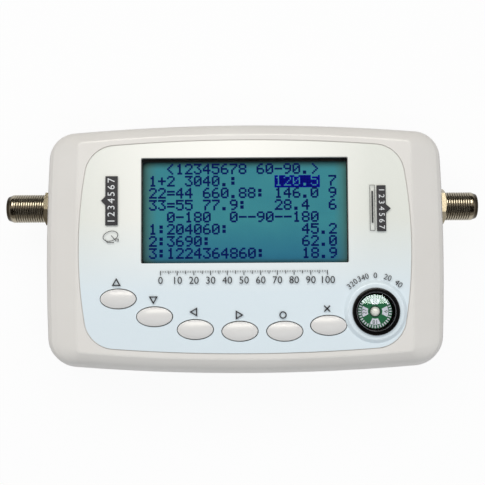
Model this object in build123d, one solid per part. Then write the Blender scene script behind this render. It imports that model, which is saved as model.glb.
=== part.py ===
from build123d import *
import os

# Satellite signal meter, lying on its back. X runs along the long side towards the
# receiver connector, Y towards the top edge of the face, Z out of the face.
# The origin is the centre of the flat back. Lengths are in millimetres.

# Case, both halves
CASE_HALF_WIDTH = 67.65
CASE_HALF_HEIGHT = 42.3
CASE_SIDE_BOW = 1.25
CASE_END_BOW = 3.15
CASE_CORNER_RADIUS = 10.2
FRONT_DEPTH = 15.75
REAR_DEPTH = 15.75
WALL = 2.2
FACE_WALL = 2.0
# How far the walls lean in, how wide and deep the flanks are, and how soft the
# shoulder between wall and flank is: at the two sides, the two ends and the back
SIDE_LEAN = 3.2
SIDE_FLANK = 13.15
SIDE_DROP = 5.0
SIDE_SOFTNESS = 2.4
END_LEAN = 2.4
END_FLANK = 5.85
END_DROP = 3.6
END_SOFTNESS = 2.6
BACK_LEAN = 0.35
BACK_FLANK = 3.0
BACK_DROP = 4.0
BACK_SOFTNESS = 1.6
FACE_SIDE_BOW = 0.3
FACE_END_BOW = 2.5
FACE_CORNER_RADIUS = 1.8
BACK_CORNER_RADIUS = 6.5
CREASE_EASE = 0.3
CREASE_DROP = 0.15
PARTING_CHAMFER = 0.3
# Heights of the drawn sections, between the parting and the far face of a cover
SECTION_SHARES = (0.45, 0.6, 0.69, 0.76, 0.82, 0.87, 0.92, 0.96)
LIP_THICKNESS = 1.0
LIP_HEIGHT = 1.5
LIP_GAP = 0.1
CORE_SHARE = 0.35
RIB_THICKNESS = 1.2
RIB_HEIGHT = 2.0
OVERRUN = 5.0
LEVEL_TOLERANCE = 0.05

# Front label and the round pad that it is formed over
LABEL_THICKNESS = 0.5
LABEL_GAP = 0.3
LABEL_SIDE_RIM = 0.45
LABEL_END_RIM = 1.65
LABEL_SIDE_BOW = 3.6
LABEL_END_BOW = 2.25
LABEL_CORNER_RADIUS = 9.9
PAD_BASE_RADIUS = 10.15
PAD_HEIGHT = 1.1
PAD_EDGE_RADIUS = 0.5

# Display, from the opening down to the display board
OPENING_WIDTH_SHARE = 0.4974
OPENING_HEIGHT_SHARE = 0.4066
OPENING_RISE_SHARE = 0.2771
OPENING_CORNER_RADIUS = 0.5
WINDOW_LAP = 2.0
WINDOW_THICKNESS = 0.8
WINDOW_PLAY = 0.15
BEZEL_DROP = 0.5
BEZEL_SIDE_SHOW = 0.25
BEZEL_END_SHOW = 0.45
BEZEL_SHEET = 0.35
GLASS_LAP = 2.0
GLASS_THICKNESS = 2.2
GLASS_PLAY = 0.1
GLASS_CORNER_RADIUS = 0.6
BACKLIGHT_THICKNESS = 3.5
DISPLAY_BOARD_MARGIN = 5.4
DISPLAY_BOARD_EAR = 2.6
HEADER_LENGTH_SHARE = 0.6225
HEADER_WIDTH = 2.54

# Boards
BOARD_THICKNESS = 1.6
BOARD_CORNER_RADIUS = 2.0
MAIN_BOARD_SIDE_ROOM = 14.45
MAIN_BOARD_END_ROOM = 9.3
MAIN_POST_INSET = 3.6
POST_RADIUS = 2.7
DISPLAY_POST_RADIUS = 2.3
HOLE_PLAY = 0.2

# Tuner can and the larger pieces on the back of the main board
CAN_END_ROOM = 17.2
CAN_EDGE_ROOM = 4.95
CAN_HEIGHT = 8.0
CAN_SHEET = 0.5
CAN_CELLS = 3
LID_SKIRT = 2.0
CHIP_SIZE = 18.0
CHIP_THICKNESS = 1.6
CHIP_CHAMFER = 0.4
LEAD_REACH = 1.2
LEAD_THICKNESS = 0.3
CRYSTAL_LENGTH = 10.5
CRYSTAL_WIDTH = 4.4
CRYSTAL_HEIGHT = 3.5
COIL_RADIUS = 4.0
COIL_WAIST_RADIUS = 2.9
COIL_HEIGHT = 4.6
COIL_RIM = 0.8
CAPACITOR_RADIUS = 3.15
CAPACITOR_HEIGHT = 7.0
CAPACITOR_GROOVE = 0.25
CAPACITOR_PITCH = 8.0
CAPACITOR_COUNT = 3
BUZZER_RADIUS = 6.0
BUZZER_HEIGHT = 7.5
BUZZER_HOLE_RADIUS = 1.1
REGULATOR_WIDTH = 6.6
REGULATOR_LENGTH = 6.1
REGULATOR_THICKNESS = 2.3
TAB_LENGTH = 1.6
TAB_THICKNESS = 0.5
# Centres of the pieces in the lower half of the main board, across its half sizes
CHIP_PLACE_SHARE = (-0.34, -0.545)
CRYSTAL_PLACE_SHARE = (0.0, -0.85)
COIL_PLACE_SHARE = (0.0, -0.545)
CAPACITOR_PLACE_SHARE = (-0.75, -0.545)
BUZZER_PLACE_SHARE = (0.34, -0.545)
REGULATOR_PLACE_SHARE = (0.68, -0.545)

# Buttons and the switches under them
BUTTON_LENGTH_SHARE = 0.1191
BUTTON_WIDTH_SHARE = 0.5404
BUTTON_RISE = 1.35
BUTTON_EDGE_RISE = 0.55
BUTTON_PLAY = 0.3
BUTTON_EDGE_RADIUS = 0.3
FLANGE_REACH = 0.9
FLANGE_THICKNESS = 1.0
FLANGE_PLAY = 0.1
BUTTON_SHELL = 1.2
BUTTON_POST_RADIUS = 2.2
BUTTON_POST_DROP = 1.1
BUTTON_TRAVEL = 0.4
SWITCH_SIZE = 6.0
SWITCH_HEIGHT = 3.2
SWITCH_PLATE = 0.3
SWITCH_CORNER_RADIUS = 0.5
STEM_RADIUS = 1.75
STEM_PLAY = 0.05
STEM_FOOT_RADIUS = 2.1
STEM_FOOT_HEIGHT = 0.6
# Button centres: along the span from the label's left edge to the compass,
# and across the case's half height
BUTTON_PLACE_SHARES = {
    "up": (0.1342, -0.3986),
    "down": (0.2570, -0.5352),
    "left": (0.3941, -0.6338),
    "right": (0.5439, -0.6485),
    "ok": (0.6943, -0.6501),
    "exit": (0.8417, -0.6071),
}

# Compass
COMPASS_SIDE_INSET = 25.67
COMPASS_END_INSET = 20.96
COMPASS_RING_RADIUS = 7.65
COMPASS_RING_HEIGHT = 0.95
COMPASS_RING_ROUND = 0.45
COMPASS_BODY_RADIUS = 6.95
COMPASS_BODY_DEPTH = 7.4
COMPASS_WALL = 0.9
COMPASS_PLAY = 0.05
COMPASS_BOSS_WALL = 1.2
COMPASS_BOSS_DEPTH = 3.0
LENS_RADIUS = 6.35
LENS_THICKNESS = 1.0
LENS_CROWN = 0.15
LENS_DROP = 0.2
CARD_RADIUS = 5.5
CARD_THICKNESS = 0.4
CARD_DEPTH = 2.2
MAGNET_LENGTH = 8.4
MAGNET_WIDTH = 1.9
MAGNET_THICKNESS = 1.0
CAP_RADIUS = 1.5
CAP_HEIGHT = 1.25
CAP_SOCKET_RADIUS = 0.55
CAP_SOCKET_DEPTH = 0.6
PIVOT_RADIUS = 0.4
PIVOT_BASE_RADIUS = 1.3
PIVOT_BASE_HEIGHT = 0.8
PIVOT_POINT_HEIGHT = 0.7
PIVOT_PLAY = 0.05
CARD_HOLE_PLAY = 0.25

# F connectors: 3/8-32 thread, 11.1 mm hexagon
THREAD_RADIUS = 4.7625
THREAD_ROOT_RADIUS = 4.5
CONNECTOR_RISE_SHARE = 0.3322
NUT_SEAT_INSET = 2.35
NUT_SEAT_RADIUS = 7.4
NUT_ACROSS_FLATS = 11.11
NUT_THICKNESS = 2.0
NUT_CHAMFER_SHARE = 0.13
LEFT_REACH = 15.45
RIGHT_REACH = 13.5
NOSE_LENGTH = 2.4
NOSE_RADIUS = 3.55
NOSE_BULGE = 0.3
CONNECTOR_PLAY = 0.15
SEAT_WALL = 1.5
SEAT_RADIUS = 9.6
LOCK_WASHER_THICKNESS = 0.5
LOCK_WASHER_RADIUS = 7.0
LOCK_WASHER_SLIT = 0.6
CONNECTOR_FLANGE_RADIUS = 6.3
CONNECTOR_FLANGE = 2.5
TAIL_RADIUS = 3.9
TAIL_LENGTH = 4.8
BORE_RADIUS = 2.85
INSULATOR_DROP = 0.4
CONTACT_RADIUS = 0.9
CONTACT_HOLE_RADIUS = 0.5
CONTACT_MOUTH = 2.5
CONTACT_DEPTH = 6.0
CONTACT_PIN_RADIUS = 0.5
CONTACT_LANDING = 1.7

# Screws
CASE_SCREW_SIDE_INSET = 10.15
CASE_SCREW_END_INSET = 11.8
CASE_BOSS_RADIUS = 3.6
CASE_SCREW_SEAT = 9.0
CASE_SCREW_RADIUS = 1.4
CASE_SCREW_LENGTH = 12.0
CASE_SCREW_HEAD_RADIUS = 2.6
CASE_SCREW_HEAD_HEIGHT = 1.9
COUNTERBORE_PLAY = 0.3
PILOT_ROOM = 2.0
SMALL_SCREW_RADIUS = 1.0
SMALL_SCREW_LENGTH = 6.0
SMALL_SCREW_HEAD_RADIUS = 1.9
SMALL_SCREW_HEAD_HEIGHT = 1.3
HEAD_EDGE_SHARE = 0.45

# Heights and places that follow from the sizes above
PARTING_Z = REAR_DEPTH
FACE_Z = REAR_DEPTH + FRONT_DEPTH
INNER_FACE_Z = FACE_Z - FACE_WALL
FACE_HALF_WIDTH = CASE_HALF_WIDTH - SIDE_FLANK
FACE_HALF_HEIGHT = CASE_HALF_HEIGHT - END_FLANK
RECESS_HALF_WIDTH = FACE_HALF_WIDTH - LABEL_SIDE_RIM
RECESS_HALF_HEIGHT = FACE_HALF_HEIGHT - LABEL_END_RIM
LABEL_HALF_WIDTH = RECESS_HALF_WIDTH - LABEL_GAP
LABEL_HALF_HEIGHT = RECESS_HALF_HEIGHT - LABEL_GAP
LABEL_FLOOR_Z = FACE_Z - LABEL_THICKNESS
PAD_TOP_Z = FACE_Z + PAD_HEIGHT
OPENING_WIDTH = 2 * CASE_HALF_WIDTH * OPENING_WIDTH_SHARE
OPENING_HEIGHT = 2 * CASE_HALF_HEIGHT * OPENING_HEIGHT_SHARE
OPENING_RISE = CASE_HALF_HEIGHT * OPENING_RISE_SHARE
CONNECTOR_RISE = CASE_HALF_HEIGHT * CONNECTOR_RISE_SHARE
WINDOW_WIDTH = OPENING_WIDTH + 2 * WINDOW_LAP
WINDOW_HEIGHT = OPENING_HEIGHT + 2 * WINDOW_LAP
WINDOW_BOTTOM_Z = INNER_FACE_Z - WINDOW_THICKNESS
DISPLAY_Y = OPENING_RISE - BEZEL_DROP
BEZEL_SIGHT_WIDTH = OPENING_WIDTH - 2 * BEZEL_SIDE_SHOW
BEZEL_SIGHT_HEIGHT = OPENING_HEIGHT - 2 * BEZEL_END_SHOW
GLASS_WIDTH = BEZEL_SIGHT_WIDTH + 2 * GLASS_LAP
GLASS_HEIGHT = BEZEL_SIGHT_HEIGHT + 2 * GLASS_LAP
GLASS_TOP_Z = WINDOW_BOTTOM_Z - BEZEL_SHEET
GLASS_BOTTOM_Z = GLASS_TOP_Z - GLASS_THICKNESS
DISPLAY_BOARD_TOP_Z = GLASS_BOTTOM_Z - BACKLIGHT_THICKNESS
DISPLAY_BOARD_BOTTOM_Z = DISPLAY_BOARD_TOP_Z - BOARD_THICKNESS
DISPLAY_BOARD_WIDTH = GLASS_WIDTH + 2 * DISPLAY_BOARD_MARGIN
DISPLAY_BOARD_HEIGHT = GLASS_HEIGHT + 2 * DISPLAY_BOARD_EAR
HEADER_LENGTH = DISPLAY_BOARD_WIDTH * HEADER_LENGTH_SHARE
MAIN_BOARD_BOTTOM_Z = PARTING_Z + CONTACT_PIN_RADIUS
MAIN_BOARD_TOP_Z = MAIN_BOARD_BOTTOM_Z + BOARD_THICKNESS
MAIN_BOARD_HALF_WIDTH = CASE_HALF_WIDTH - MAIN_BOARD_SIDE_ROOM
MAIN_BOARD_HALF_HEIGHT = CASE_HALF_HEIGHT - MAIN_BOARD_END_ROOM
CAN_LENGTH = 2 * (MAIN_BOARD_HALF_WIDTH - CAN_END_ROOM)
CAN_WIDTH = 2 * (MAIN_BOARD_HALF_HEIGHT - CONNECTOR_RISE - CAN_EDGE_ROOM)
SWITCH_TOP_Z = MAIN_BOARD_TOP_Z + SWITCH_HEIGHT + SWITCH_PLATE
FLANGE_TOP_Z = INNER_FACE_Z - FLANGE_PLAY
FLANGE_BOTTOM_Z = FLANGE_TOP_Z - FLANGE_THICKNESS
STEM_TOP_Z = FLANGE_BOTTOM_Z - BUTTON_POST_DROP
COMPASS_X = CASE_HALF_WIDTH - COMPASS_SIDE_INSET
COMPASS_Y = COMPASS_END_INSET - CASE_HALF_HEIGHT
BUTTON_SPAN = COMPASS_X + LABEL_HALF_WIDTH
BUTTON_LENGTH = BUTTON_SPAN * BUTTON_LENGTH_SHARE
BUTTON_WIDTH = BUTTON_LENGTH * BUTTON_WIDTH_SHARE
COMPASS_BOTTOM_Z = PAD_TOP_Z - COMPASS_BODY_DEPTH
COMPASS_FLOOR_Z = COMPASS_BOTTOM_Z + COMPASS_WALL
COMPASS_RING_Z = PAD_TOP_Z + COMPASS_RING_HEIGHT
LENS_TOP_Z = COMPASS_RING_Z - LENS_DROP
LENS_BOTTOM_Z = LENS_TOP_Z - LENS_THICKNESS
CARD_TOP_Z = LENS_BOTTOM_Z - CARD_DEPTH
CARD_BOTTOM_Z = CARD_TOP_Z - CARD_THICKNESS
SOCKET_TOP_Z = CARD_TOP_Z + CAP_SOCKET_DEPTH
PIVOT_TOP_Z = SOCKET_TOP_Z - PIVOT_PLAY
NUT_SEAT_X = CASE_HALF_WIDTH - NUT_SEAT_INSET
NUT_OUTER_X = NUT_SEAT_X + NUT_THICKNESS
SEAT_X = NUT_SEAT_X - SEAT_WALL
CONNECTOR_FLANGE_X = SEAT_X - LOCK_WASHER_THICKNESS
TAIL_X = CONNECTOR_FLANGE_X - CONNECTOR_FLANGE
TAIL_END_X = TAIL_X - TAIL_LENGTH
LANDING_X = MAIN_BOARD_HALF_WIDTH - CONTACT_LANDING
CONNECTOR_HOLE_RADIUS = THREAD_RADIUS + CONNECTOR_PLAY
CASE_SCREW_X = CASE_HALF_WIDTH - CASE_SCREW_SIDE_INSET
CASE_SCREW_Y = CASE_HALF_HEIGHT - CASE_SCREW_END_INSET
MAIN_POST_X = MAIN_BOARD_HALF_WIDTH - MAIN_POST_INSET
MAIN_POST_Y = MAIN_BOARD_HALF_HEIGHT - MAIN_POST_INSET
DISPLAY_POST_X = GLASS_WIDTH / 2 + DISPLAY_BOARD_MARGIN / 2 + BEZEL_SHEET
DISPLAY_POST_Y = DISPLAY_BOARD_HEIGHT / 2 - DISPLAY_BOARD_MARGIN / 2


def bowed_outline(half_width, half_height, side_bow, end_bow, corner_radius):
    """Flat face with four bowed sides that meet in rounded corners."""
    x = half_width - side_bow
    y = half_height - end_bow
    right = ThreePointArc((x, -y), (half_width, 0), (x, y))
    top = ThreePointArc((x, y), (0, half_height), (-x, y))
    left = ThreePointArc((-x, y), (-half_width, 0), (-x, -y))
    bottom = ThreePointArc((-x, -y), (0, -half_height), (x, -y))
    face = make_face([right, top, left, bottom])
    return fillet(face.vertices(), corner_radius)


def front_style():
    """Way, depth, side walls, end walls and far outline of the front cover."""
    return (
        1,
        FRONT_DEPTH,
        (SIDE_LEAN, SIDE_FLANK, SIDE_DROP, SIDE_SOFTNESS),
        (END_LEAN, END_FLANK, END_DROP, END_SOFTNESS),
        (FACE_SIDE_BOW, FACE_END_BOW, FACE_CORNER_RADIUS),
    )


def rear_style():
    """The same for the rear cover, which is alike all round."""
    wall = (BACK_LEAN, BACK_FLANK, BACK_DROP, BACK_SOFTNESS)
    return -1, REAR_DEPTH, wall, wall, (CASE_SIDE_BOW, CASE_END_BOW, BACK_CORNER_RADIUS)


def half_size(half, walls, depth, height, inset, lid, soft):
    """Half width or half height of a cover at a height over its parting.

    The wall leans in as it rises, the flank falls away from the far face, and
    the lesser of the two counts, with the corner between them rounded off.
    """
    lean, flank, drop, softness = walls
    blend = softness ** 2 * soft
    wall = half - inset - lean * height / depth
    edge = half - flank + flank * (depth - lid - height) / drop + blend / 4 / (flank - lean)
    return (wall + edge - ((wall - edge) ** 2 + blend) ** 0.5) / 2


def cover_outline(style, height, inset=0, lid=0, soft=0, ease=0):
    """Outline of a cover at a height over its parting, drawn in by a wall and a lid."""
    way, depth, sides, ends, far = style
    half_width = half_size(CASE_HALF_WIDTH, sides, depth, height, inset, lid, soft)
    half_height = half_size(CASE_HALF_HEIGHT, ends, depth, height, inset, lid, soft)
    near = (CASE_SIDE_BOW, CASE_END_BOW, CASE_CORNER_RADIUS - inset)
    share = (CASE_HALF_WIDTH - inset - half_width) / sides[1]
    bows = [a + (b - a) * share for a, b in zip(near, far)]
    outline = bowed_outline(half_width - ease, half_height - ease, *bows)
    return Pos(0, 0, PARTING_Z + way * height) * outline


def outer_form(style):
    """Outside of one cover, eased at the parting and round the far face."""
    way, depth, *walls = style
    heights = [PARTING_CHAMFER, *(depth * share for share in SECTION_SHARES), depth - CREASE_DROP]
    sections = [Pos(0, 0, PARTING_Z) * case_outline(PARTING_CHAMFER)]
    sections += [cover_outline(style, height, soft=1) for height in heights]
    sections.append(cover_outline(style, depth, soft=1, ease=CREASE_EASE))
    return loft(sections[::way], ruled=True)


def shoulder_height(walls, depth, inset, lid):
    """Height at which the wall of an inner form meets its flank."""
    lean, flank, drop, softness = walls
    slope = flank / drop
    return (slope * (depth - lid) - flank + inset) / (slope - lean / depth)


def inner_form(style, inset, lid, past=0):
    """One cover drawn in by a wall and a lid, with sharp shoulders."""
    way, depth, sides, ends, far = style
    heights = {-past, depth - lid}
    heights |= {shoulder_height(walls, depth, inset, lid) for walls in (sides, ends)}
    sections = [cover_outline(style, height, inset, lid) for height in sorted(heights)]
    return loft(sections[::way], ruled=True)


def case_outline(inset=0):
    return bowed_outline(
        CASE_HALF_WIDTH - inset,
        CASE_HALF_HEIGHT - inset,
        CASE_SIDE_BOW,
        CASE_END_BOW,
        CASE_CORNER_RADIUS - inset,
    )


def label_outline(gap=0):
    """Outline of the label, or of its recess with the gap given."""
    return bowed_outline(
        LABEL_HALF_WIDTH + gap,
        LABEL_HALF_HEIGHT + gap,
        LABEL_SIDE_BOW,
        LABEL_END_BOW,
        LABEL_CORNER_RADIUS + gap,
    )


def edges_at(shape, height):
    """Edges that lie level at one height."""
    return shape.edges().filter_by_position(Axis.Z, height - LEVEL_TOLERANCE, height + LEVEL_TOLERANCE)


def corners(x, y):
    return [(x, y), (-x, y), (-x, -y), (x, -y)]


def cylinder_between(radius, low, high, x=0, y=0):
    return Pos(x, y, low) * extrude(Circle(radius), high - low)


def slab(outline, low, high, x=0, y=0):
    """A flat outline given thickness between two heights."""
    return Pos(x, y, low) * extrude(outline, high - low)


def sideways(shape, side):
    """Turns a piece drawn along Z to lie along X through the connector axis."""
    return Pos(0, CONNECTOR_RISE, PARTING_Z) * Rot(0, side * 90, 0) * shape


def group(solids):
    return Compound(children=list(solids))


def button_places():
    """Name and centre of each button."""
    places = {}
    for name, (along_share, across_share) in BUTTON_PLACE_SHARES.items():
        x = BUTTON_SPAN * along_share - LABEL_HALF_WIDTH
        places[name] = (x, CASE_HALF_HEIGHT * across_share)
    return places


def button_outline(margin=0):
    return Ellipse(BUTTON_LENGTH / 2 + margin, BUTTON_WIDTH / 2 + margin)


def opening_outline():
    return Pos(0, OPENING_RISE) * RectangleRounded(OPENING_WIDTH, OPENING_HEIGHT, OPENING_CORNER_RADIUS)


def pad_cone(drop):
    """Raised round pad under the compass. drop 0 is the label's surface over it."""
    slope_shift = drop * (2 ** 0.5 - 1)
    base = PAD_BASE_RADIUS - slope_shift
    low = FACE_Z - drop
    profile = Polyline(
        (0, low),
        (base, low),
        (base - PAD_HEIGHT, low + PAD_HEIGHT),
        (0, low + PAD_HEIGHT),
        close=True,
    )
    cone = revolve(make_face(Plane.XZ * profile), Axis.Z)
    return Pos(COMPASS_X, COMPASS_Y, 0) * cone


def connector_seats(form):
    """Thick rings behind the connector holes, one half of each in each cover."""
    reach = CASE_HALF_WIDTH - WALL / 2 - SEAT_X
    ring = Pos(0, 0, SEAT_X) * extrude(Circle(SEAT_RADIUS), reach)
    return [sideways(ring, side) & form for side in (-1, 1)]


def connector_cuts():
    """Hole for each connector, and the round recess that its nut sits in."""
    hole = Pos(0, 0, SEAT_X - OVERRUN) * extrude(Circle(CONNECTOR_HOLE_RADIUS), SEAT_WALL + 2 * OVERRUN)
    seat = Pos(0, 0, NUT_SEAT_X) * extrude(Circle(NUT_SEAT_RADIUS), OVERRUN)
    return [sideways(cut, side) for cut in (hole, seat) for side in (-1, 1)]


def screw(shank_radius, length, head_radius, head_height):
    """Pan-head screw with its point up and the underside of its head at Z 0."""
    edge = head_height * HEAD_EDGE_SHARE
    profile = Polyline(
        (0, -head_height),
        (head_radius - edge, -head_height),
        (head_radius, edge - head_height),
        (head_radius, 0),
        (shank_radius, 0),
        (shank_radius, length - shank_radius),
        (0, length),
        close=True,
    )
    return revolve(make_face(Plane.XZ * profile), Axis.Z)


def front_cover():
    style = front_style()
    rebate_top = PARTING_Z + LIP_HEIGHT + LIP_GAP
    rebate = slab(case_outline(WALL - LIP_THICKNESS - LIP_GAP), PARTING_Z - OVERRUN, rebate_top)
    cover = outer_form(style) - inner_form(style, WALL, FACE_WALL, OVERRUN) - rebate
    cover -= slab(label_outline(LABEL_GAP), LABEL_FLOOR_Z, FACE_Z + OVERRUN)
    cover += pad_cone(LABEL_THICKNESS)
    core = inner_form(style, WALL * CORE_SHARE, FACE_WALL * CORE_SHARE)
    for x, y in corners(CASE_SCREW_X, CASE_SCREW_Y):
        cover += cylinder_between(CASE_BOSS_RADIUS, PARTING_Z, FACE_Z, x, y) & core
    for x, y in corners(MAIN_POST_X, MAIN_POST_Y):
        cover += cylinder_between(POST_RADIUS, MAIN_BOARD_TOP_Z, FACE_Z, x, y) & core
    for x, y in corners(DISPLAY_POST_X, DISPLAY_POST_Y):
        cover += cylinder_between(DISPLAY_POST_RADIUS, DISPLAY_BOARD_TOP_Z, FACE_Z, x, y + DISPLAY_Y) & core
    boss_radius = COMPASS_BODY_RADIUS + COMPASS_BOSS_WALL
    boss_low = INNER_FACE_Z - COMPASS_BOSS_DEPTH
    cover += cylinder_between(boss_radius, boss_low, LABEL_FLOOR_Z, COMPASS_X, COMPASS_Y) & core
    cover += window_rib()
    for seat in connector_seats(core):
        cover += seat
    for cut in connector_cuts() + front_holes():
        cover -= cut
    return cover


def window_rib():
    """Low rib that holds the display window by its edge."""
    inner = RectangleRounded(
        WINDOW_WIDTH + 2 * WINDOW_PLAY,
        WINDOW_HEIGHT + 2 * WINDOW_PLAY,
        OPENING_CORNER_RADIUS,
    )
    outer = RectangleRounded(
        WINDOW_WIDTH + 2 * WINDOW_PLAY + 2 * RIB_THICKNESS,
        WINDOW_HEIGHT + 2 * WINDOW_PLAY + 2 * RIB_THICKNESS,
        OPENING_CORNER_RADIUS + RIB_THICKNESS,
    )
    return slab(outer - inner, WINDOW_BOTTOM_Z, INNER_FACE_Z, 0, OPENING_RISE)


def front_holes():
    """Display opening, button holes, compass bore and screw pilots of the front cover."""
    cuts = [slab(opening_outline(), INNER_FACE_Z - OVERRUN, FACE_Z + OVERRUN)]
    for x, y in button_places().values():
        cuts.append(slab(button_outline(BUTTON_PLAY), INNER_FACE_Z - FLANGE_THICKNESS, FACE_Z, x, y))
    bore = COMPASS_BODY_RADIUS + COMPASS_PLAY
    cuts.append(cylinder_between(bore, COMPASS_BOTTOM_Z, PAD_TOP_Z, COMPASS_X, COMPASS_Y))
    pilot_top = CASE_SCREW_SEAT + CASE_SCREW_LENGTH + PILOT_ROOM
    for x, y in corners(CASE_SCREW_X, CASE_SCREW_Y):
        cuts.append(cylinder_between(CASE_SCREW_RADIUS, PARTING_Z, pilot_top, x, y))
    reach = SMALL_SCREW_LENGTH - BOARD_THICKNESS
    for x, y in corners(MAIN_POST_X, MAIN_POST_Y):
        top = MAIN_BOARD_TOP_Z + reach + SMALL_SCREW_RADIUS
        cuts.append(cylinder_between(SMALL_SCREW_RADIUS, MAIN_BOARD_TOP_Z, top, x, y))
    for x, y in corners(DISPLAY_POST_X, DISPLAY_POST_Y):
        top = DISPLAY_BOARD_TOP_Z + reach + SMALL_SCREW_RADIUS
        cuts.append(cylinder_between(SMALL_SCREW_RADIUS, DISPLAY_BOARD_TOP_Z, top, x, y + DISPLAY_Y))
    return cuts


def rear_cover():
    style = rear_style()
    cover = outer_form(style) - inner_form(style, WALL, WALL, OVERRUN)
    cover += lip()
    core = inner_form(style, WALL * CORE_SHARE, WALL * CORE_SHARE)
    for x, y in corners(CASE_SCREW_X, CASE_SCREW_Y):
        cover += cylinder_between(CASE_BOSS_RADIUS, 0, PARTING_Z, x, y) & core
    for rib in floor_ribs():
        cover += rib & core
    for seat in connector_seats(core):
        cover += seat
    for cut in connector_cuts():
        cover -= cut
    counterbore = CASE_SCREW_HEAD_RADIUS + COUNTERBORE_PLAY
    for x, y in corners(CASE_SCREW_X, CASE_SCREW_Y):
        cover -= cylinder_between(counterbore, -OVERRUN, CASE_SCREW_SEAT, x, y)
        cover -= cylinder_between(CASE_SCREW_RADIUS + HOLE_PLAY, 0, PARTING_Z + OVERRUN, x, y)
    return cover


def lip():
    """Inner lip of the rear cover. It is left out where the connectors pass."""
    outline = case_outline(WALL - LIP_THICKNESS) - case_outline(WALL + LIP_GAP)
    ring = slab(outline, PARTING_Z - LIP_HEIGHT, PARTING_Z + LIP_HEIGHT)
    notch = Box(2 * OVERRUN, 2 * (SEAT_RADIUS + LIP_GAP), 2 * LIP_HEIGHT)
    for side in (-1, 1):
        ring -= Pos(side * (CASE_HALF_WIDTH - WALL), CONNECTOR_RISE, PARTING_Z + LIP_HEIGHT) * notch
    return ring


def floor_ribs():
    """Stiffening ribs on the floor of the rear cover."""
    low = WALL / 2
    height = WALL / 2 + RIB_HEIGHT
    long_rib = Box(2 * CASE_SCREW_X, RIB_THICKNESS, height, align=(Align.CENTER, Align.CENTER, Align.MIN))
    cross_rib = Box(RIB_THICKNESS, 2 * CASE_SCREW_Y, height, align=(Align.CENTER, Align.CENTER, Align.MIN))
    ribs = [Pos(0, y, low) * long_rib for y in (-CASE_SCREW_Y, 0, CASE_SCREW_Y)]
    ribs += [Pos(x, 0, low) * cross_rib for x in (-CASE_SCREW_X, 0, CASE_SCREW_X)]
    return ribs


def front_label():
    """Thin faceplate in the recess, formed up over the compass pad."""
    label = slab(label_outline(), LABEL_FLOOR_Z, FACE_Z)
    top = pad_cone(0)
    top = fillet(edges_at(top, PAD_TOP_Z), PAD_EDGE_RADIUS)
    label += top
    label -= pad_cone(LABEL_THICKNESS)
    label -= slab(opening_outline(), LABEL_FLOOR_Z, FACE_Z)
    for x, y in button_places().values():
        label -= slab(button_outline(BUTTON_PLAY), LABEL_FLOOR_Z, FACE_Z, x, y)
    bore = COMPASS_BODY_RADIUS + COMPASS_PLAY
    return label - cylinder_between(bore, LABEL_FLOOR_Z, PAD_TOP_Z, COMPASS_X, COMPASS_Y)


def display_window():
    pane = RectangleRounded(WINDOW_WIDTH, WINDOW_HEIGHT, OPENING_CORNER_RADIUS)
    return slab(pane, WINDOW_BOTTOM_Z, INNER_FACE_Z, 0, OPENING_RISE)


def display_bezel():
    """Pressed frame round the glass and backlight, standing on the display board."""
    around = 2 * (GLASS_PLAY + BEZEL_SHEET)
    outer = RectangleRounded(
        GLASS_WIDTH + around,
        GLASS_HEIGHT + around,
        GLASS_CORNER_RADIUS + BEZEL_SHEET,
    )
    inner = RectangleRounded(
        GLASS_WIDTH + 2 * GLASS_PLAY,
        GLASS_HEIGHT + 2 * GLASS_PLAY,
        GLASS_CORNER_RADIUS,
    )
    sight = RectangleRounded(BEZEL_SIGHT_WIDTH, BEZEL_SIGHT_HEIGHT, GLASS_CORNER_RADIUS)
    frame = slab(outer, DISPLAY_BOARD_TOP_Z, WINDOW_BOTTOM_Z)
    frame -= slab(inner, DISPLAY_BOARD_TOP_Z, GLASS_TOP_Z)
    frame -= slab(sight, GLASS_TOP_Z, WINDOW_BOTTOM_Z)
    return Pos(0, DISPLAY_Y, 0) * frame


def display_glass():
    pane = RectangleRounded(GLASS_WIDTH, GLASS_HEIGHT, GLASS_CORNER_RADIUS)
    return slab(pane, GLASS_BOTTOM_Z, GLASS_TOP_Z, 0, DISPLAY_Y)


def display_backlight():
    """Light guide under the glass, with its back edge eased."""
    pane = RectangleRounded(GLASS_WIDTH, GLASS_HEIGHT, GLASS_CORNER_RADIUS)
    guide = slab(pane, DISPLAY_BOARD_TOP_Z, GLASS_BOTTOM_Z, 0, DISPLAY_Y)
    return chamfer(edges_at(guide, DISPLAY_BOARD_TOP_Z), BEZEL_SHEET)


def board(width, height, hole_x, hole_y, low, y=0):
    """Circuit board with a screw hole near each corner."""
    outline = RectangleRounded(width, height, BOARD_CORNER_RADIUS)
    for x_place, y_place in corners(hole_x, hole_y):
        outline -= Pos(x_place, y_place) * Circle(SMALL_SCREW_RADIUS + HOLE_PLAY)
    return slab(outline, low, low + BOARD_THICKNESS, 0, y)


def display_board():
    return board(
        DISPLAY_BOARD_WIDTH,
        DISPLAY_BOARD_HEIGHT,
        DISPLAY_POST_X,
        DISPLAY_POST_Y,
        DISPLAY_BOARD_BOTTOM_Z,
        DISPLAY_Y,
    )


def main_board():
    return board(
        2 * MAIN_BOARD_HALF_WIDTH,
        2 * MAIN_BOARD_HALF_HEIGHT,
        MAIN_POST_X,
        MAIN_POST_Y,
        MAIN_BOARD_BOTTOM_Z,
    )


def display_header():
    """Pin header that carries the display board's signals down to the main board."""
    y = DISPLAY_Y + DISPLAY_BOARD_HEIGHT / 2 - HEADER_WIDTH
    strip = Rectangle(HEADER_LENGTH, HEADER_WIDTH)
    return slab(strip, MAIN_BOARD_TOP_Z, DISPLAY_BOARD_BOTTOM_Z, 0, y)


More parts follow.
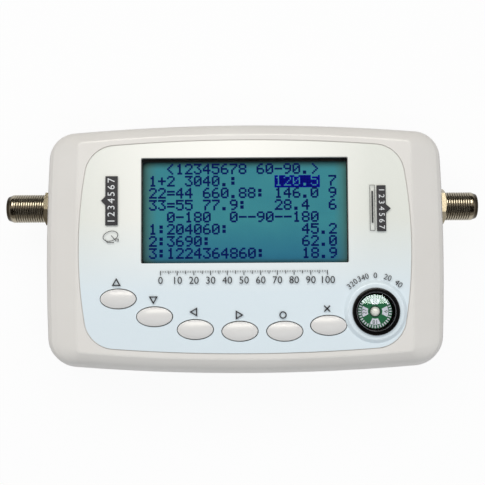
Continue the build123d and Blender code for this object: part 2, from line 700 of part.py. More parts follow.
def tuner_can():
    """Tinned frame round the tuner, divided into cells."""
    low = MAIN_BOARD_BOTTOM_Z - CAN_HEIGHT
    plan = Rectangle(CAN_LENGTH, CAN_WIDTH)
    pitch = (CAN_LENGTH - CAN_SHEET) / CAN_CELLS
    cell = Rectangle(pitch - CAN_SHEET, CAN_WIDTH - 2 * CAN_SHEET)
    for index in range(CAN_CELLS):
        plan -= Pos(pitch * (index - (CAN_CELLS - 1) / 2), 0) * cell
    return slab(plan, low, MAIN_BOARD_BOTTOM_Z, 0, CONNECTOR_RISE)


def tuner_lid():
    """Sprung lid that closes the can and grips it round the outside."""
    top = MAIN_BOARD_BOTTOM_Z - CAN_HEIGHT
    plate = Rectangle(CAN_LENGTH + 2 * CAN_SHEET, CAN_WIDTH + 2 * CAN_SHEET)
    lid = slab(plate, top - CAN_SHEET, top + LID_SKIRT)
    lid -= slab(Rectangle(CAN_LENGTH, CAN_WIDTH), top, top + LID_SKIRT)
    return Pos(0, CONNECTOR_RISE, 0) * lid


def under_board(shape, place_share, y_shift=0):
    """Hangs a piece drawn upwards from Z 0 on the back of the main board."""
    along_share, across_share = place_share
    x = MAIN_BOARD_HALF_WIDTH * along_share
    y = MAIN_BOARD_HALF_HEIGHT * across_share + y_shift
    return Pos(x, y, MAIN_BOARD_BOTTOM_Z) * Rot(180, 0, 0) * shape


def main_chip():
    """Flat square package with its rows of leads drawn as one thin plate."""
    body = extrude(Rectangle(CHIP_SIZE, CHIP_SIZE), CHIP_THICKNESS)
    body = chamfer(body.faces().sort_by(Axis.Z)[-1].edges(), CHIP_CHAMFER)
    leads = extrude(Rectangle(CHIP_SIZE + 2 * LEAD_REACH, CHIP_SIZE + 2 * LEAD_REACH), LEAD_THICKNESS)
    return under_board(body + leads, CHIP_PLACE_SHARE)


def crystal():
    can = extrude(SlotOverall(CRYSTAL_LENGTH, CRYSTAL_WIDTH), CRYSTAL_HEIGHT)
    return under_board(can, CRYSTAL_PLACE_SHARE)


def coil():
    """Drum coil with a waisted winding between its two flanges."""
    profile = Polyline(
        (0, 0),
        (COIL_RADIUS, 0),
        (COIL_RADIUS, COIL_RIM),
        (COIL_WAIST_RADIUS, COIL_RIM),
        (COIL_WAIST_RADIUS, COIL_HEIGHT - COIL_RIM),
        (COIL_RADIUS, COIL_HEIGHT - COIL_RIM),
        (COIL_RADIUS, COIL_HEIGHT),
        (0, COIL_HEIGHT),
        close=True,
    )
    return under_board(revolve(make_face(Plane.XZ * profile), Axis.Z), COIL_PLACE_SHARE)


def capacitors():
    """Row of electrolytic capacitors, each with the crimp groove of its can."""
    can = extrude(Circle(CAPACITOR_RADIUS), CAPACITOR_HEIGHT)
    groove = Pos(0, 0, CAPACITOR_RADIUS) * Torus(CAPACITOR_RADIUS, CAPACITOR_GROOVE)
    can -= groove
    shifts = [CAPACITOR_PITCH * (index - (CAPACITOR_COUNT - 1) / 2) for index in range(CAPACITOR_COUNT)]
    return group(under_board(can, CAPACITOR_PLACE_SHARE, shift) for shift in shifts)


def buzzer():
    drum = extrude(Circle(BUZZER_RADIUS), BUZZER_HEIGHT)
    drum = fillet(drum.edges().group_by(Axis.Z)[-1], BUZZER_HOLE_RADIUS / 2)
    drum -= Pos(0, 0, BUZZER_HEIGHT / 2) * extrude(Circle(BUZZER_HOLE_RADIUS), BUZZER_HEIGHT)
    return under_board(drum, BUZZER_PLACE_SHARE)


def regulator():
    """Flat power package with its metal tab soldered to the board."""
    body = Box(
        REGULATOR_WIDTH,
        REGULATOR_LENGTH,
        REGULATOR_THICKNESS,
        align=(Align.CENTER, Align.MAX, Align.MIN),
    )
    tab = Box(
        REGULATOR_WIDTH,
        REGULATOR_LENGTH + TAB_LENGTH,
        TAB_THICKNESS,
        align=(Align.CENTER, Align.MAX, Align.MIN),
    )
    body = chamfer(body.edges().group_by(Axis.Z)[-1], CHIP_CHAMFER)
    piece = body + Pos(0, TAB_LENGTH, 0) * tab
    return under_board(piece, REGULATOR_PLACE_SHARE)


def button_cap():
    """Domed cap turned round and then drawn in to its oval."""
    edge_z = FACE_Z + BUTTON_EDGE_RISE
    radius = BUTTON_LENGTH / 2
    shoulder = (radius - BUTTON_EDGE_RADIUS, edge_z)
    outline = [
        Line((0, FLANGE_BOTTOM_Z), (radius, FLANGE_BOTTOM_Z)),
        Line((radius, FLANGE_BOTTOM_Z), (radius, edge_z - BUTTON_EDGE_RADIUS)),
        RadiusArc((radius, edge_z - BUTTON_EDGE_RADIUS), shoulder, -BUTTON_EDGE_RADIUS),
        ThreePointArc(shoulder, dome_point(shoulder), (0, FACE_Z + BUTTON_RISE)),
        Line((0, FACE_Z + BUTTON_RISE), (0, FLANGE_BOTTOM_Z)),
    ]
    turned = revolve(make_face(Plane.XZ * Curve(children=outline)), Axis.Z)
    return scale(turned, by=(1, BUTTON_WIDTH_SHARE, 1))


def dome_point(shoulder):
    """Point half way up the dome's arc, which is level at its top."""
    reach, low = shoulder
    rise = FACE_Z + BUTTON_RISE - low
    radius = (reach ** 2 + rise ** 2) / (2 * rise)
    return (reach / 2, low + rise - radius + (radius ** 2 - reach ** 2 / 4) ** 0.5)


def button():
    """Domed oval cap with a retaining flange and a post for the switch stem."""
    cap = button_cap() + slab(button_outline(FLANGE_REACH), FLANGE_BOTTOM_Z, FLANGE_TOP_Z)
    pocket_top = FACE_Z + BUTTON_EDGE_RISE - BUTTON_SHELL
    cap -= slab(button_outline(-BUTTON_SHELL), FLANGE_BOTTOM_Z, pocket_top)
    return cap + cylinder_between(BUTTON_POST_RADIUS, STEM_TOP_Z, pocket_top + BUTTON_SHELL / 2)


def switch_stem():
    """Plunger of a push switch, with the foot that keeps it in its housing."""
    foot_top = SWITCH_TOP_Z - SWITCH_PLATE - STEM_PLAY
    foot = cylinder_between(STEM_FOOT_RADIUS, foot_top - STEM_FOOT_HEIGHT, foot_top)
    return foot + cylinder_between(STEM_RADIUS, foot_top - STEM_FOOT_HEIGHT, STEM_TOP_Z)


def switch_body():
    """Moulded housing of a push switch, with the well that its stem moves in."""
    body = RectangleRounded(SWITCH_SIZE, SWITCH_SIZE, SWITCH_CORNER_RADIUS)
    top = SWITCH_TOP_Z - SWITCH_PLATE
    housing = slab(body, MAIN_BOARD_TOP_Z, top)
    well = STEM_FOOT_RADIUS + STEM_PLAY
    depth = STEM_FOOT_HEIGHT + BUTTON_TRAVEL + 2 * STEM_PLAY
    return housing - cylinder_between(well, top - depth, top)


def switch_plate():
    """Steel top plate of a push switch."""
    plate = RectangleRounded(SWITCH_SIZE, SWITCH_SIZE, SWITCH_CORNER_RADIUS)
    plate -= Circle(STEM_RADIUS + STEM_PLAY)
    return slab(plate, SWITCH_TOP_Z - SWITCH_PLATE, SWITCH_TOP_Z)


def at_compass(profile):
    """Turns a half profile into a round piece on the compass axis."""
    return Pos(COMPASS_X, COMPASS_Y, 0) * revolve(make_face(Plane.XZ * profile), Axis.Z)


def compass_housing():
    """Black cup with a ring flange that stands on the label and a ledge for the lens."""
    inner = COMPASS_BODY_RADIUS - COMPASS_WALL
    profile = Polyline(
        (0, COMPASS_BOTTOM_Z),
        (COMPASS_BODY_RADIUS, COMPASS_BOTTOM_Z),
        (COMPASS_BODY_RADIUS, PAD_TOP_Z),
        (COMPASS_RING_RADIUS, PAD_TOP_Z),
        (COMPASS_RING_RADIUS, COMPASS_RING_Z),
        (LENS_RADIUS, COMPASS_RING_Z),
        (LENS_RADIUS, LENS_BOTTOM_Z),
        (inner, LENS_BOTTOM_Z),
        (inner, COMPASS_FLOOR_Z),
        (0, COMPASS_FLOOR_Z),
        close=True,
    )
    housing = at_compass(profile)
    rim = edges_at(housing, COMPASS_RING_Z).sort_by(SortBy.LENGTH)[-1]
    return fillet(rim, COMPASS_RING_ROUND)


def compass_lens():
    """Clear cover, slightly crowned, seated on the ledge of the housing."""
    outline = [
        Line((0, LENS_BOTTOM_Z), (LENS_RADIUS, LENS_BOTTOM_Z)),
        Line((LENS_RADIUS, LENS_BOTTOM_Z), (LENS_RADIUS, LENS_TOP_Z - LENS_CROWN)),
        RadiusArc(
            (LENS_RADIUS, LENS_TOP_Z - LENS_CROWN),
            (0, LENS_TOP_Z),
            -(LENS_RADIUS ** 2 + LENS_CROWN ** 2) / 2 / LENS_CROWN,
        ),
        Line((0, LENS_TOP_Z), (0, LENS_BOTTOM_Z)),
    ]
    return Pos(COMPASS_X, COMPASS_Y, 0) * revolve(make_face(Plane.XZ * Curve(children=outline)), Axis.Z)


def compass_pivot():
    """Steel pin that the card turns on, with a foot in the floor of the housing."""
    profile = Polyline(
        (0, COMPASS_FLOOR_Z),
        (PIVOT_BASE_RADIUS, COMPASS_FLOOR_Z),
        (PIVOT_BASE_RADIUS, COMPASS_FLOOR_Z + PIVOT_BASE_HEIGHT),
        (PIVOT_RADIUS, COMPASS_FLOOR_Z + PIVOT_BASE_HEIGHT),
        (PIVOT_RADIUS, PIVOT_TOP_Z - PIVOT_POINT_HEIGHT),
        (0, PIVOT_TOP_Z),
        close=True,
    )
    return at_compass(profile)


def compass_card():
    disc = Circle(CARD_RADIUS) - Circle(PIVOT_RADIUS + CARD_HOLE_PLAY)
    return slab(disc, CARD_BOTTOM_Z, CARD_TOP_Z, COMPASS_X, COMPASS_Y)


def compass_magnet():
    """Bar magnet under the card, with a hole that clears the pivot."""
    bar = SlotOverall(MAGNET_LENGTH, MAGNET_WIDTH, rotation=90)
    bar += Circle(CAP_RADIUS)
    bar -= Circle(PIVOT_RADIUS + CARD_HOLE_PLAY)
    return slab(bar, CARD_BOTTOM_Z - MAGNET_THICKNESS, CARD_BOTTOM_Z, COMPASS_X, COMPASS_Y)


def compass_cap():
    """Domed bearing cap of the card, with the cone-shaped socket that rests on the pivot."""
    dome = scale(Sphere(1), by=(CAP_RADIUS, CAP_RADIUS, CAP_HEIGHT))
    dome = split(dome, Plane.XY)
    socket = Cone(CAP_SOCKET_RADIUS, 0, CAP_SOCKET_DEPTH, align=(Align.CENTER, Align.CENTER, Align.MIN))
    return Pos(COMPASS_X, COMPASS_Y, CARD_TOP_Z) * (dome - socket)


def connector_barrel(reach):
    """Turned barrel drawn along Z, from its tail inside the case to its rounded nose."""
    tip = NUT_SEAT_X + reach
    nose = tip - NOSE_LENGTH
    bulge = (
        (THREAD_RADIUS + NOSE_RADIUS) / 2 + NOSE_BULGE,
        nose + NOSE_LENGTH / 2 + NOSE_BULGE,
    )
    outline = Polyline(
        (NOSE_RADIUS, tip),
        (BORE_RADIUS, tip),
        (BORE_RADIUS, TAIL_END_X),
        (TAIL_RADIUS, TAIL_END_X),
        (TAIL_RADIUS, TAIL_X),
        (CONNECTOR_FLANGE_RADIUS, TAIL_X),
        (CONNECTOR_FLANGE_RADIUS, CONNECTOR_FLANGE_X),
        (THREAD_ROOT_RADIUS, CONNECTOR_FLANGE_X),
        (THREAD_ROOT_RADIUS, NUT_OUTER_X),
        (THREAD_RADIUS, NUT_OUTER_X),
        (THREAD_RADIUS, nose),
    )
    round_nose = ThreePointArc((THREAD_RADIUS, nose), bulge, (NOSE_RADIUS, tip))
    return revolve(make_face(Plane.XZ * Curve(children=[outline, round_nose])), Axis.Z)


def connector_insulator(reach):
    """Plastic core of a connector, bored for the contact and open at its mouth."""
    front = NUT_SEAT_X + reach - INSULATOR_DROP
    core = cylinder_between(BORE_RADIUS, TAIL_END_X, front)
    core -= cylinder_between(CONTACT_RADIUS, TAIL_END_X, front - CONTACT_MOUTH)
    return core - cylinder_between(CONTACT_HOLE_RADIUS, front - CONTACT_MOUTH, front)


def connector_contact(reach):
    """Centre contact with a blind hole at the front and a pin that lies under the board."""
    front = NUT_SEAT_X + reach - INSULATOR_DROP - CONTACT_MOUTH
    sleeve = cylinder_between(CONTACT_RADIUS, TAIL_END_X, front)
    sleeve -= cylinder_between(CONTACT_HOLE_RADIUS, front - CONTACT_DEPTH, front)
    return sleeve + cylinder_between(CONTACT_PIN_RADIUS, LANDING_X, TAIL_END_X)


def connector_nut():
    """Hexagon nut with its corners eased on both faces, one corner along local X."""
    corner = NUT_ACROSS_FLATS / 3 ** 0.5
    prism = extrude(RegularPolygon(corner, 6), NUT_THICKNESS)
    ease = corner * NUT_CHAMFER_SHARE
    profile = Polyline(
        (0, 0),
        (corner - ease, 0),
        (corner, ease / 2),
        (corner, NUT_THICKNESS - ease / 2),
        (corner - ease, NUT_THICKNESS),
        (0, NUT_THICKNESS),
        close=True,
    )
    nut = prism & revolve(make_face(Plane.XZ * profile), Axis.Z)
    return Pos(0, 0, NUT_SEAT_X) * (nut - extrude(Circle(THREAD_ROOT_RADIUS), NUT_THICKNESS))


def lock_washer():
    """Split ring between the wall and the connector's flange."""
    ring = Circle(LOCK_WASHER_RADIUS) - Circle(THREAD_ROOT_RADIUS + HOLE_PLAY)
    ring -= Pos(LOCK_WASHER_RADIUS, 0) * Rectangle(2 * LOCK_WASHER_RADIUS, LOCK_WASHER_SLIT)
    return Pos(0, 0, CONNECTOR_FLANGE_X) * extrude(ring, LOCK_WASHER_THICKNESS)


def case_screws():
    piece = screw(
        CASE_SCREW_RADIUS,
        CASE_SCREW_LENGTH,
        CASE_SCREW_HEAD_RADIUS,
        CASE_SCREW_HEAD_HEIGHT,
    )
    return group(Pos(x, y, CASE_SCREW_SEAT) * piece for x, y in corners(CASE_SCREW_X, CASE_SCREW_Y))


def small_screws(x_place, y_place, seat_z, y_shift):
    """Four board screws, their heads under the board."""
    piece = screw(
        SMALL_SCREW_RADIUS,
        SMALL_SCREW_LENGTH,
        SMALL_SCREW_HEAD_RADIUS,
        SMALL_SCREW_HEAD_HEIGHT,
    )
    return group(Pos(x, y + y_shift, seat_z) * piece for x, y in corners(x_place, y_place))


def connector_nodes():
    """Pieces of the two connectors, named by side."""
    nodes = {}
    for name, side, reach, turn in (("left", -1, LEFT_REACH, 0), ("right", 1, RIGHT_REACH, 30)):
        nodes["connector_barrel_" + name] = sideways(connector_barrel(reach), side)
        nodes["connector_insulator_" + name] = sideways(connector_insulator(reach), side)
        nodes["connector_contact_" + name] = sideways(connector_contact(reach), side)
        nodes["connector_nut_" + name] = sideways(Rot(0, 0, turn) * connector_nut(), side)
        nodes["lock_washer_" + name] = sideways(lock_washer(), side)
    return nodes


def button_nodes():
    """A cap and a switch stem for each button, and the switches as two groups."""
    nodes = {}
    cap = button()
    stem = switch_stem()
    places = button_places()
    for name, (x, y) in places.items():
        nodes["button_" + name] = Pos(x, y, 0) * cap
        nodes["stem_" + name] = Pos(x, y, 0) * stem
    body = switch_body()
    plate = switch_plate()
    nodes["switch_bodies"] = group(Pos(x, y, 0) * body for x, y in places.values())
    nodes["switch_plates"] = group(Pos(x, y, 0) * plate for x, y in places.values())
    return nodes


def all_nodes():
    nodes = {
        "front_cover": front_cover(),
        "rear_cover": rear_cover(),
        "front_label": front_label(),
        "display_window": display_window(),
        "display_bezel": display_bezel(),
        "display_glass": display_glass(),
        "display_backlight": display_backlight(),
        "display_board": display_board(),
        "display_header": display_header(),
        "main_board": main_board(),
        "tuner_can": tuner_can(),
        "tuner_lid": tuner_lid(),
        "main_chip": main_chip(),
        "crystal": crystal(),
        "coil": coil(),
        "capacitors": capacitors(),
        "buzzer": buzzer(),
        "regulator": regulator(),
        "compass_housing": compass_housing(),
        "compass_lens": compass_lens(),
        "compass_pivot": compass_pivot(),
        "compass_card": compass_card(),
        "compass_magnet": compass_magnet(),
        "compass_cap": compass_cap(),
        "case_screws": case_screws(),
        "board_screws": small_screws(MAIN_POST_X, MAIN_POST_Y, MAIN_BOARD_BOTTOM_Z, 0),
        "display_screws": small_screws(DISPLAY_POST_X, DISPLAY_POST_Y, DISPLAY_BOARD_BOTTOM_Z, DISPLAY_Y),
    }
    nodes.update(button_nodes())
    nodes.update(connector_nodes())
    return nodes


os.makedirs("parts", exist_ok=True)
for node, shape in all_nodes().items():
    export_step(shape, "parts/" + node + ".step")
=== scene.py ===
import math

import bmesh
import bpy
from mathutils import Matrix, Vector


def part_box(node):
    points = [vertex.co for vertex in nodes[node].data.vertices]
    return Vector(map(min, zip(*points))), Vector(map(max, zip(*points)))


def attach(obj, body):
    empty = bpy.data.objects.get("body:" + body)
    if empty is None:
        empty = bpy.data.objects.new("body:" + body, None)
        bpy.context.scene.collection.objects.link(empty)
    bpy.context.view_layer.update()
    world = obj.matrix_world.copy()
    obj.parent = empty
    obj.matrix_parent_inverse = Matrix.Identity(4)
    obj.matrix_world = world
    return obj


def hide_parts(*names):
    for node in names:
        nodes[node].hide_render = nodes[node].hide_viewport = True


# Satellite signal meter: finishes, print, display dots, compass dial, threads, light and camera.
# The scene is in metres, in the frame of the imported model. Sizes and places written here are in
# millimetres and pass through MM, apart from those of the room and the camera, which are in metres.

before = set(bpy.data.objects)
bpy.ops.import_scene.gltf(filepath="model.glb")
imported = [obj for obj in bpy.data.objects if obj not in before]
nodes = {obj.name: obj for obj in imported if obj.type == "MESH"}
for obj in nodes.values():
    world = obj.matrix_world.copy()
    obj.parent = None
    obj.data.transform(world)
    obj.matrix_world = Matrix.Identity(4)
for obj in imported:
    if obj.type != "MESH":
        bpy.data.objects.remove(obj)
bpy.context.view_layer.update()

MM = 0.001
WHITE = (1.0, 1.0, 1.0, 1.0)
# Share of the light that clear plastic mirrors when seen square on
PLASTIC_MIRROR_SHARE = 0.04
# Square of the distance from the middle at which the label's painted shade towards its ends is full, in
# square millimetres
LABEL_PAINTED_END_SHADE = 3200

# Display characters, seven rows of five dots from the top, each row as a number
GLYPH_WIDTH = 5
GLYPHS = {
    "0": (14, 17, 19, 21, 25, 17, 14),
    "1": (4, 12, 4, 4, 4, 4, 14),
    "2": (14, 17, 1, 2, 4, 8, 31),
    "3": (31, 2, 4, 2, 1, 17, 14),
    "4": (2, 6, 10, 18, 31, 2, 2),
    "5": (31, 16, 30, 1, 1, 17, 14),
    "6": (6, 8, 16, 30, 17, 17, 14),
    "7": (31, 1, 2, 4, 8, 8, 8),
    "8": (14, 17, 17, 14, 17, 17, 14),
    "9": (14, 17, 17, 15, 1, 2, 12),
    ".": (0, 0, 0, 0, 0, 12, 12),
    ":": (0, 12, 12, 0, 12, 12, 0),
    "-": (0, 0, 0, 31, 0, 0, 0),
    "+": (0, 4, 4, 31, 4, 4, 0),
    "=": (0, 0, 31, 0, 31, 0, 0),
    "<": (2, 4, 8, 16, 8, 4, 2),
    ">": (8, 4, 2, 1, 2, 4, 8),
}
# The lines shown on the display: plain numbers and signs only
READOUT = (
    "  <12345678 60-90.>  ",
    "1+2 3040.:    120.5 7",
    "22=44 660.88: 146.0 9",
    "33=55 77.9:   28.4  6",
    "  0-180  0--90--180  ",
    "1:204060:        45.2",
    "2:3690:          62.0",
    "3:1224364860:    18.9",
)
MARKED_LINE = 1
MARKED_CELLS = range(14, 19)
CELL_DOTS_WIDE = 6
CELL_DOTS_TALL = 8
DOT_PITCH = 0.491
DOT_SPREAD = 0.15
LINE_PITCH = 3.96
READOUT_LEFT = -31.3
READOUT_TOP = 27.3
# What the opening shows of the display
VIEW_LEFT = -33.7
VIEW_RIGHT = 33.4
VIEW_FOOT = -5.4
VIEW_TOP = 28.9

# How deep print sinks into its face, how far it stands proud, and a second print on the first
PRINT_SINK = 0.01
PRINT_RISE = 0.02
SECOND_PRINT_RISE = 0.01
# Height of a digit as a share of its font's size, and how finely its curves are divided
DIGIT_SHARE = 0.7
DIGIT_CURVE_STEPS = 3
# Least cosine that a printed line's corner is drawn out for
MITRE_LIMIT = 0.35

# Signs over the buttons
SIGN_PLACES = {
    "up": (-41.47, -11.57),
    "down": (-29.51, -17.27),
    "left": (-16.52, -21.2),
    "right": (-1.88, -22.23),
    "ok": (12.18, -22.31),
    "exit": (26.35, -20.33),
}
SIGN_LINE = 0.38
ARROW = ((-1.15, -0.95), (1.15, -0.95), (0, 1.05))
ARROW_TURNS = {"up": 0, "down": 180, "left": 90, "right": -90}
RING_RADIUS = 1.0
RING_SIDES = 28
CROSS_REACH = 0.95
CROSS_LINE = 0.4

# Scale under the display, with the length and width of every tenth, fifth and single tick
SCALE_LEFT = -27.2
SCALE_RIGHT = 26.6
SCALE_TOP = -7.9
SCALE_END = 100
SCALE_NUMBER_STEP = 10
SCALE_NUMBER_HEIGHT = 2.3
SCALE_NUMBER_Y = -11.15
SCALE_TICKS = ((10, 1.5, 0.26), (5, 1.05, 0.26), (1, 0.65, 0.15))

# Numbers on the label round the compass, each with its degrees from the top
LABEL_NUMBERS = (("320", -40), ("340", -20), ("0", 0), ("20", 20), ("40", 40))
LABEL_NUMBERS_RADIUS = 11.5
LABEL_NUMBERS_HEIGHT = 1.8

# Tags beside the display, and the numbers on them: height, x, first y, step in y and turn
LEFT_TAG = (
    (-45.11, 6.85), (-41.08, 6.85), (-41.08, 22.9), (-45.11, 22.9),
    (-45.11, 16.35), (-46.54, 14.9), (-45.11, 13.45),
)
RIGHT_TAG = (
    (42.74, 4.49), (45.69, 4.49), (45.69, 10.45), (47.26, 11.88),
    (45.69, 13.3), (45.69, 19.4), (42.74, 19.4),
)
TAG_NUMBERS = ((2.3, -43.1, 8.3, 2.2, 90), (1.8, 44.25, 17.9, -2.0, -90))
TAG_NUMBER_COUNT = 7

# Outlined dish, about its own middle, and outlined receiver
DISH_PLACE = (-43.4, 3.4)
DISH_LINE = 0.2
DISH_POINT_STEP = 15
DISH_LONG_AXIS = (2.35, 0.7)
DISH_SHORT_AXIS = (-0.45, 1.5)
DISH_STRUTS = (
    ((0.2, 0.2), (1.9, -1.6)),
    ((-1.6, -1.2), (-1.0, -2.1), (1.2, -2.1)),
    ((1.5, -0.9), (2.6, -1.0), (2.4, -2.0)),
)
RECEIVER_BOX = (40.55, 4.75, 42.1, 19.45)
RECEIVER_FRONT = (41.1, 7.2, 41.6, 17.6)
RECEIVER_LINE = 0.16

# Compass dial: ticks, pale sectors, numbers with their degrees from the top, and hub
DIAL_TICKS = 36
DIAL_TICK_ENDS = (4.5, 5.4)
DIAL_TICK_WIDTH = 0.42
SECTOR_TURNS = (0, 90, 180, 270)
SECTOR_OUTER_RADIUS = 4.3
SECTOR_OUTER_HALF_ANGLE = 24
SECTOR_INNER_RADIUS = 2.35
SECTOR_INNER_HALF_ANGLE = 22
SECTOR_STEPS = 8
DIAL_NUMBERS = (("36", 0), ("9", 90), ("18", 180), ("27", 270))
DIAL_NUMBERS_RADIUS = 3.35
DIAL_NUMBERS_HEIGHT = 1.3
HUB_RADIUS = 1.95
HUB_SIDES = 36

# Compass lens: its bands are the wall, the ground edge and then the crown
LENS_CROWN = 0.15
LENS_EDGE = 0.2
LENS_CROWN_STEPS = 12
LENS_SIDES = 96
GROUND_BAND = 1

# F connector thread, 3/8-32, and how it fades out at the nose and under the nut
THREAD_RADIUS = 4.7625
THREAD_PITCH = 0.794
THREAD_DEPTH = 0.38
GROOVE_HALF_SHARE = 0.23
NOSE_FADE = 0.5
NUT_FADE = 0.4
THREAD_UNDER_NUT = 2.2
STATIONS_PER_TURN = 8
CONNECTOR_SIDES = 72

# Connector barrel, from its tail inside the case outwards. The flange starts where the tail ends,
# and THREAD_START is how far past that start the thread begins.
BORE_RADIUS = 2.85
TAIL_RADIUS = 3.9
TAIL_LENGTH = 4.8
FLANGE_RADIUS = 6.3
FLANGE_LENGTH = 2.5
THREAD_START = 2.6
NOSE_LENGTH = 2.4
# Rounded nose: places along it, each with the radius there, and back into the bore
NOSE_PROFILE = (
    (0.5, 4.76), (0.8, 4.7), (1.1, 4.58), (1.45, 4.4), (1.8, 4.27), (2.12, 4.17),
    (2.28, 4.07), (2.37, 3.94), (2.4, 3.8), (2.4, 3.0), (2.3, BORE_RADIUS),
)
NUT_EXTRA = 0.5

# Case screws and the cross recess in their heads
SCREW_HEAD_RADIUS = 2.6
RECESS_HALF_LENGTH = 1.45
RECESS_HALF_WIDTH = 0.28
RECESS_DEPTH = 1.15
RECESS_OVERRUN = 0.5
RECESS_TURN = 20

# Room and camera, in metres; the camera's turns are in radians, its lens and sensor in millimetres
FLOOR_HALF_SIZE = 3
FLOOR_PAINT = (0.82, 0.82, 0.82, 1.0)
FLOOR_BOUNCE = (0.22, 0.22, 0.22, 1.0)
FLOOR_GLOW_SHARE = 0.93
WORLD_STRENGTH = 0.36
CAMERA_PLACE = (0.0012277, -0.015925, 0.3115)
CAMERA_TURNS = (("X", 0.060844), ("Y", 0.0069461), ("Z", -0.005790))
CAMERA_LENS = 64.38
CAMERA_SENSOR = 36
# Lamps: name, place, width, height, power and colour
LAMP_AIM = (0, 0, 0.02)
LAMPS = (
    ("upper_softbox", (-0.08, 0.32, 0.5), 0.85, 0.26, 2.0, (1.0, 0.98, 0.935)),
    ("near_fill", (0.1, -0.26, 0.68), 0.6, 0.4, 1.7, (0.89, 0.95, 1.0)),
)
# Hood: name, angles from overhead where a band starts and ends, distance, half length, colour, strength
HOOD_BANDS = (
    ("hood_skirt", -92, -58, 0.8, 1.2, (1.0, 0.93, 0.84, 1.0), 0.3),
    ("hood_near", -58, 1, 0.8, 1.2, (1.0, 0.8, 0.7, 1.0), 0.012),
    ("hood_overhead", 1, 24, 0.8, 1.2, (1.0, 0.9, 0.8, 1.0), 0.42),
    ("hood_bright_strip", 24, 46, 0.77, 0.36, (1.0, 0.96, 0.88, 1.0), 5.6),
    ("hood_far", 24, 98, 0.8, 1.2, (1.0, 0.9, 0.55, 1.0), 0.02),
)
HOOD_STEPS = 8
HOOD_STRENGTH_IN_PANES = 0.06
# Card that the compass lens mirrors, level with the camera: left, right and y of each row
GLARE_ROWS = (
    (0.050, 0.106, -0.0108),
    (0.051, 0.106, -0.0059),
    (0.067, 0.098, 0.0043),
    (0.077, 0.089, 0.0066),
)
GLARE_COLOUR = (0.88, 1.0, 0.93, 1.0)
GLARE_STRENGTH = 13.0


class Amount:
    """A number that changes over a surface. Sums on amounts add Math nodes to the finish."""

    def __init__(self, finish, socket):
        self.finish = finish
        self.socket = socket

    def __add__(self, other):
        return self.finish.maths("ADD", self, other)

    def __radd__(self, other):
        return self.finish.maths("ADD", other, self)

    def __sub__(self, other):
        return self.finish.maths("SUBTRACT", self, other)

    def __rsub__(self, other):
        return self.finish.maths("SUBTRACT", other, self)

    def __mul__(self, other):
        return self.finish.maths("MULTIPLY", self, other)

    def __rmul__(self, other):
        return self.finish.maths("MULTIPLY", other, self)

    def __truediv__(self, other):
        return self.finish.maths("DIVIDE", self, other)

    def __rtruediv__(self, other):
        return self.finish.maths("DIVIDE", other, self)


class Finish:
    """A material, or the world, while its nodes are being added."""

    def __init__(self, name, world=False):
        self.output = "OutputWorld" if world else "OutputMaterial"
        self.owner = (bpy.data.worlds if world else bpy.data.materials).new(name)
        self.owner.use_nodes = True
        self.tree = self.owner.node_tree
        self.tree.nodes.clear()

    def add(self, kind, settings=(), sockets=()):
        """Adds a node: its settings first, then the values or links of its sockets."""
        node = self.tree.nodes.new("ShaderNode" + kind)
        for name, value in dict(settings).items():
            setattr(node, name, value)
        for name, value in dict(sockets).items():
            if isinstance(value, Amount):
                value = value.socket
            if isinstance(value, bpy.types.NodeSocket):
                self.tree.links.new(value, node.inputs[name])
            else:
                node.inputs[name].default_value = value
        return node

    def maths(self, operation, *terms):
        """Amount that a Math node makes of numbers and amounts."""
        node = self.add("Math", {"operation": operation}, enumerate(terms))
        return Amount(self, node.outputs[0])

    def limited(self, amount):
        """The amount kept between 0 and 1."""
        return Amount(self, self.add("Clamp", {}, {"Value": amount}).outputs[0])

    def ramp(self, amount, start, end):
        """Share that rises evenly from 0 where the amount is start to 1 where it is end."""
        return self.limited((amount - start) / (end - start))

    def place(self):
        """Amounts of x, y and z over the piece, in millimetres."""
        coordinates = self.add("TexCoord").outputs["Object"]
        scaled = self.add("VectorMath", {"operation": "SCALE"}, {"Vector": coordinates, "Scale": 1 / MM})
        split = self.add("SeparateXYZ", {}, {"Vector": scaled.outputs[0]})
        return [Amount(self, socket) for socket in split.outputs]

    def grain(self, size, detail=2.0, stretch=(1, 1, 1)):
        """Amount of a noise whose patches are size millimetres across, drawn out by stretch."""
        coordinates = self.add("TexCoord").outputs["Object"]
        squeeze = [1 / (size * MM * part) for part in stretch]
        mapped = self.add("Mapping", {}, {"Vector": coordinates, "Scale": squeeze})
        noise = self.add("TexNoise", {}, {"Vector": mapped.outputs[0], "Scale": 1.0, "Detail": detail})
        return Amount(self, noise.outputs[0])

    def rays(self, *kinds):
        """1 for rays of these kinds, and 0 for all others."""
        path = self.add("LightPath").outputs
        return self.limited(sum(Amount(self, path["Is " + kind + " Ray"]) for kind in kinds))

    def between(self, amount, low, high):
        """Colour that runs from low to high as the amount runs from 0 to 1."""
        # A Mix node set to colours takes its share at 0 and its colours at 6 and 7, and gives them at 2
        mix = self.add("Mix", {"data_type": "RGBA"}, {0: amount, 6: low, 7: high})
        return mix.outputs[2]

    def relief(self, height, depth):
        """Surface direction from a height amount. depth is in millimetres."""
        return self.add("Bump", {}, {"Height": height, "Distance": depth * MM}).outputs[0]

    def ending(self, shader):
        """Joins a shader to the output and gives back the material or world."""
        self.add(self.output, {}, {"Surface": shader.outputs[0]})
        return self.owner

    def plastic_or_metal(self, sockets):
        """Ends the finish with a Principled shader."""
        return self.ending(self.add("BsdfPrincipled", {}, sockets))

    def mixed(self, share, first, second):
        """Ends the finish with two shaders, of which the second has the share."""
        return self.ending(self.add("MixShader", {}, {0: share, 1: first.outputs[0], 2: second.outputs[0]}))


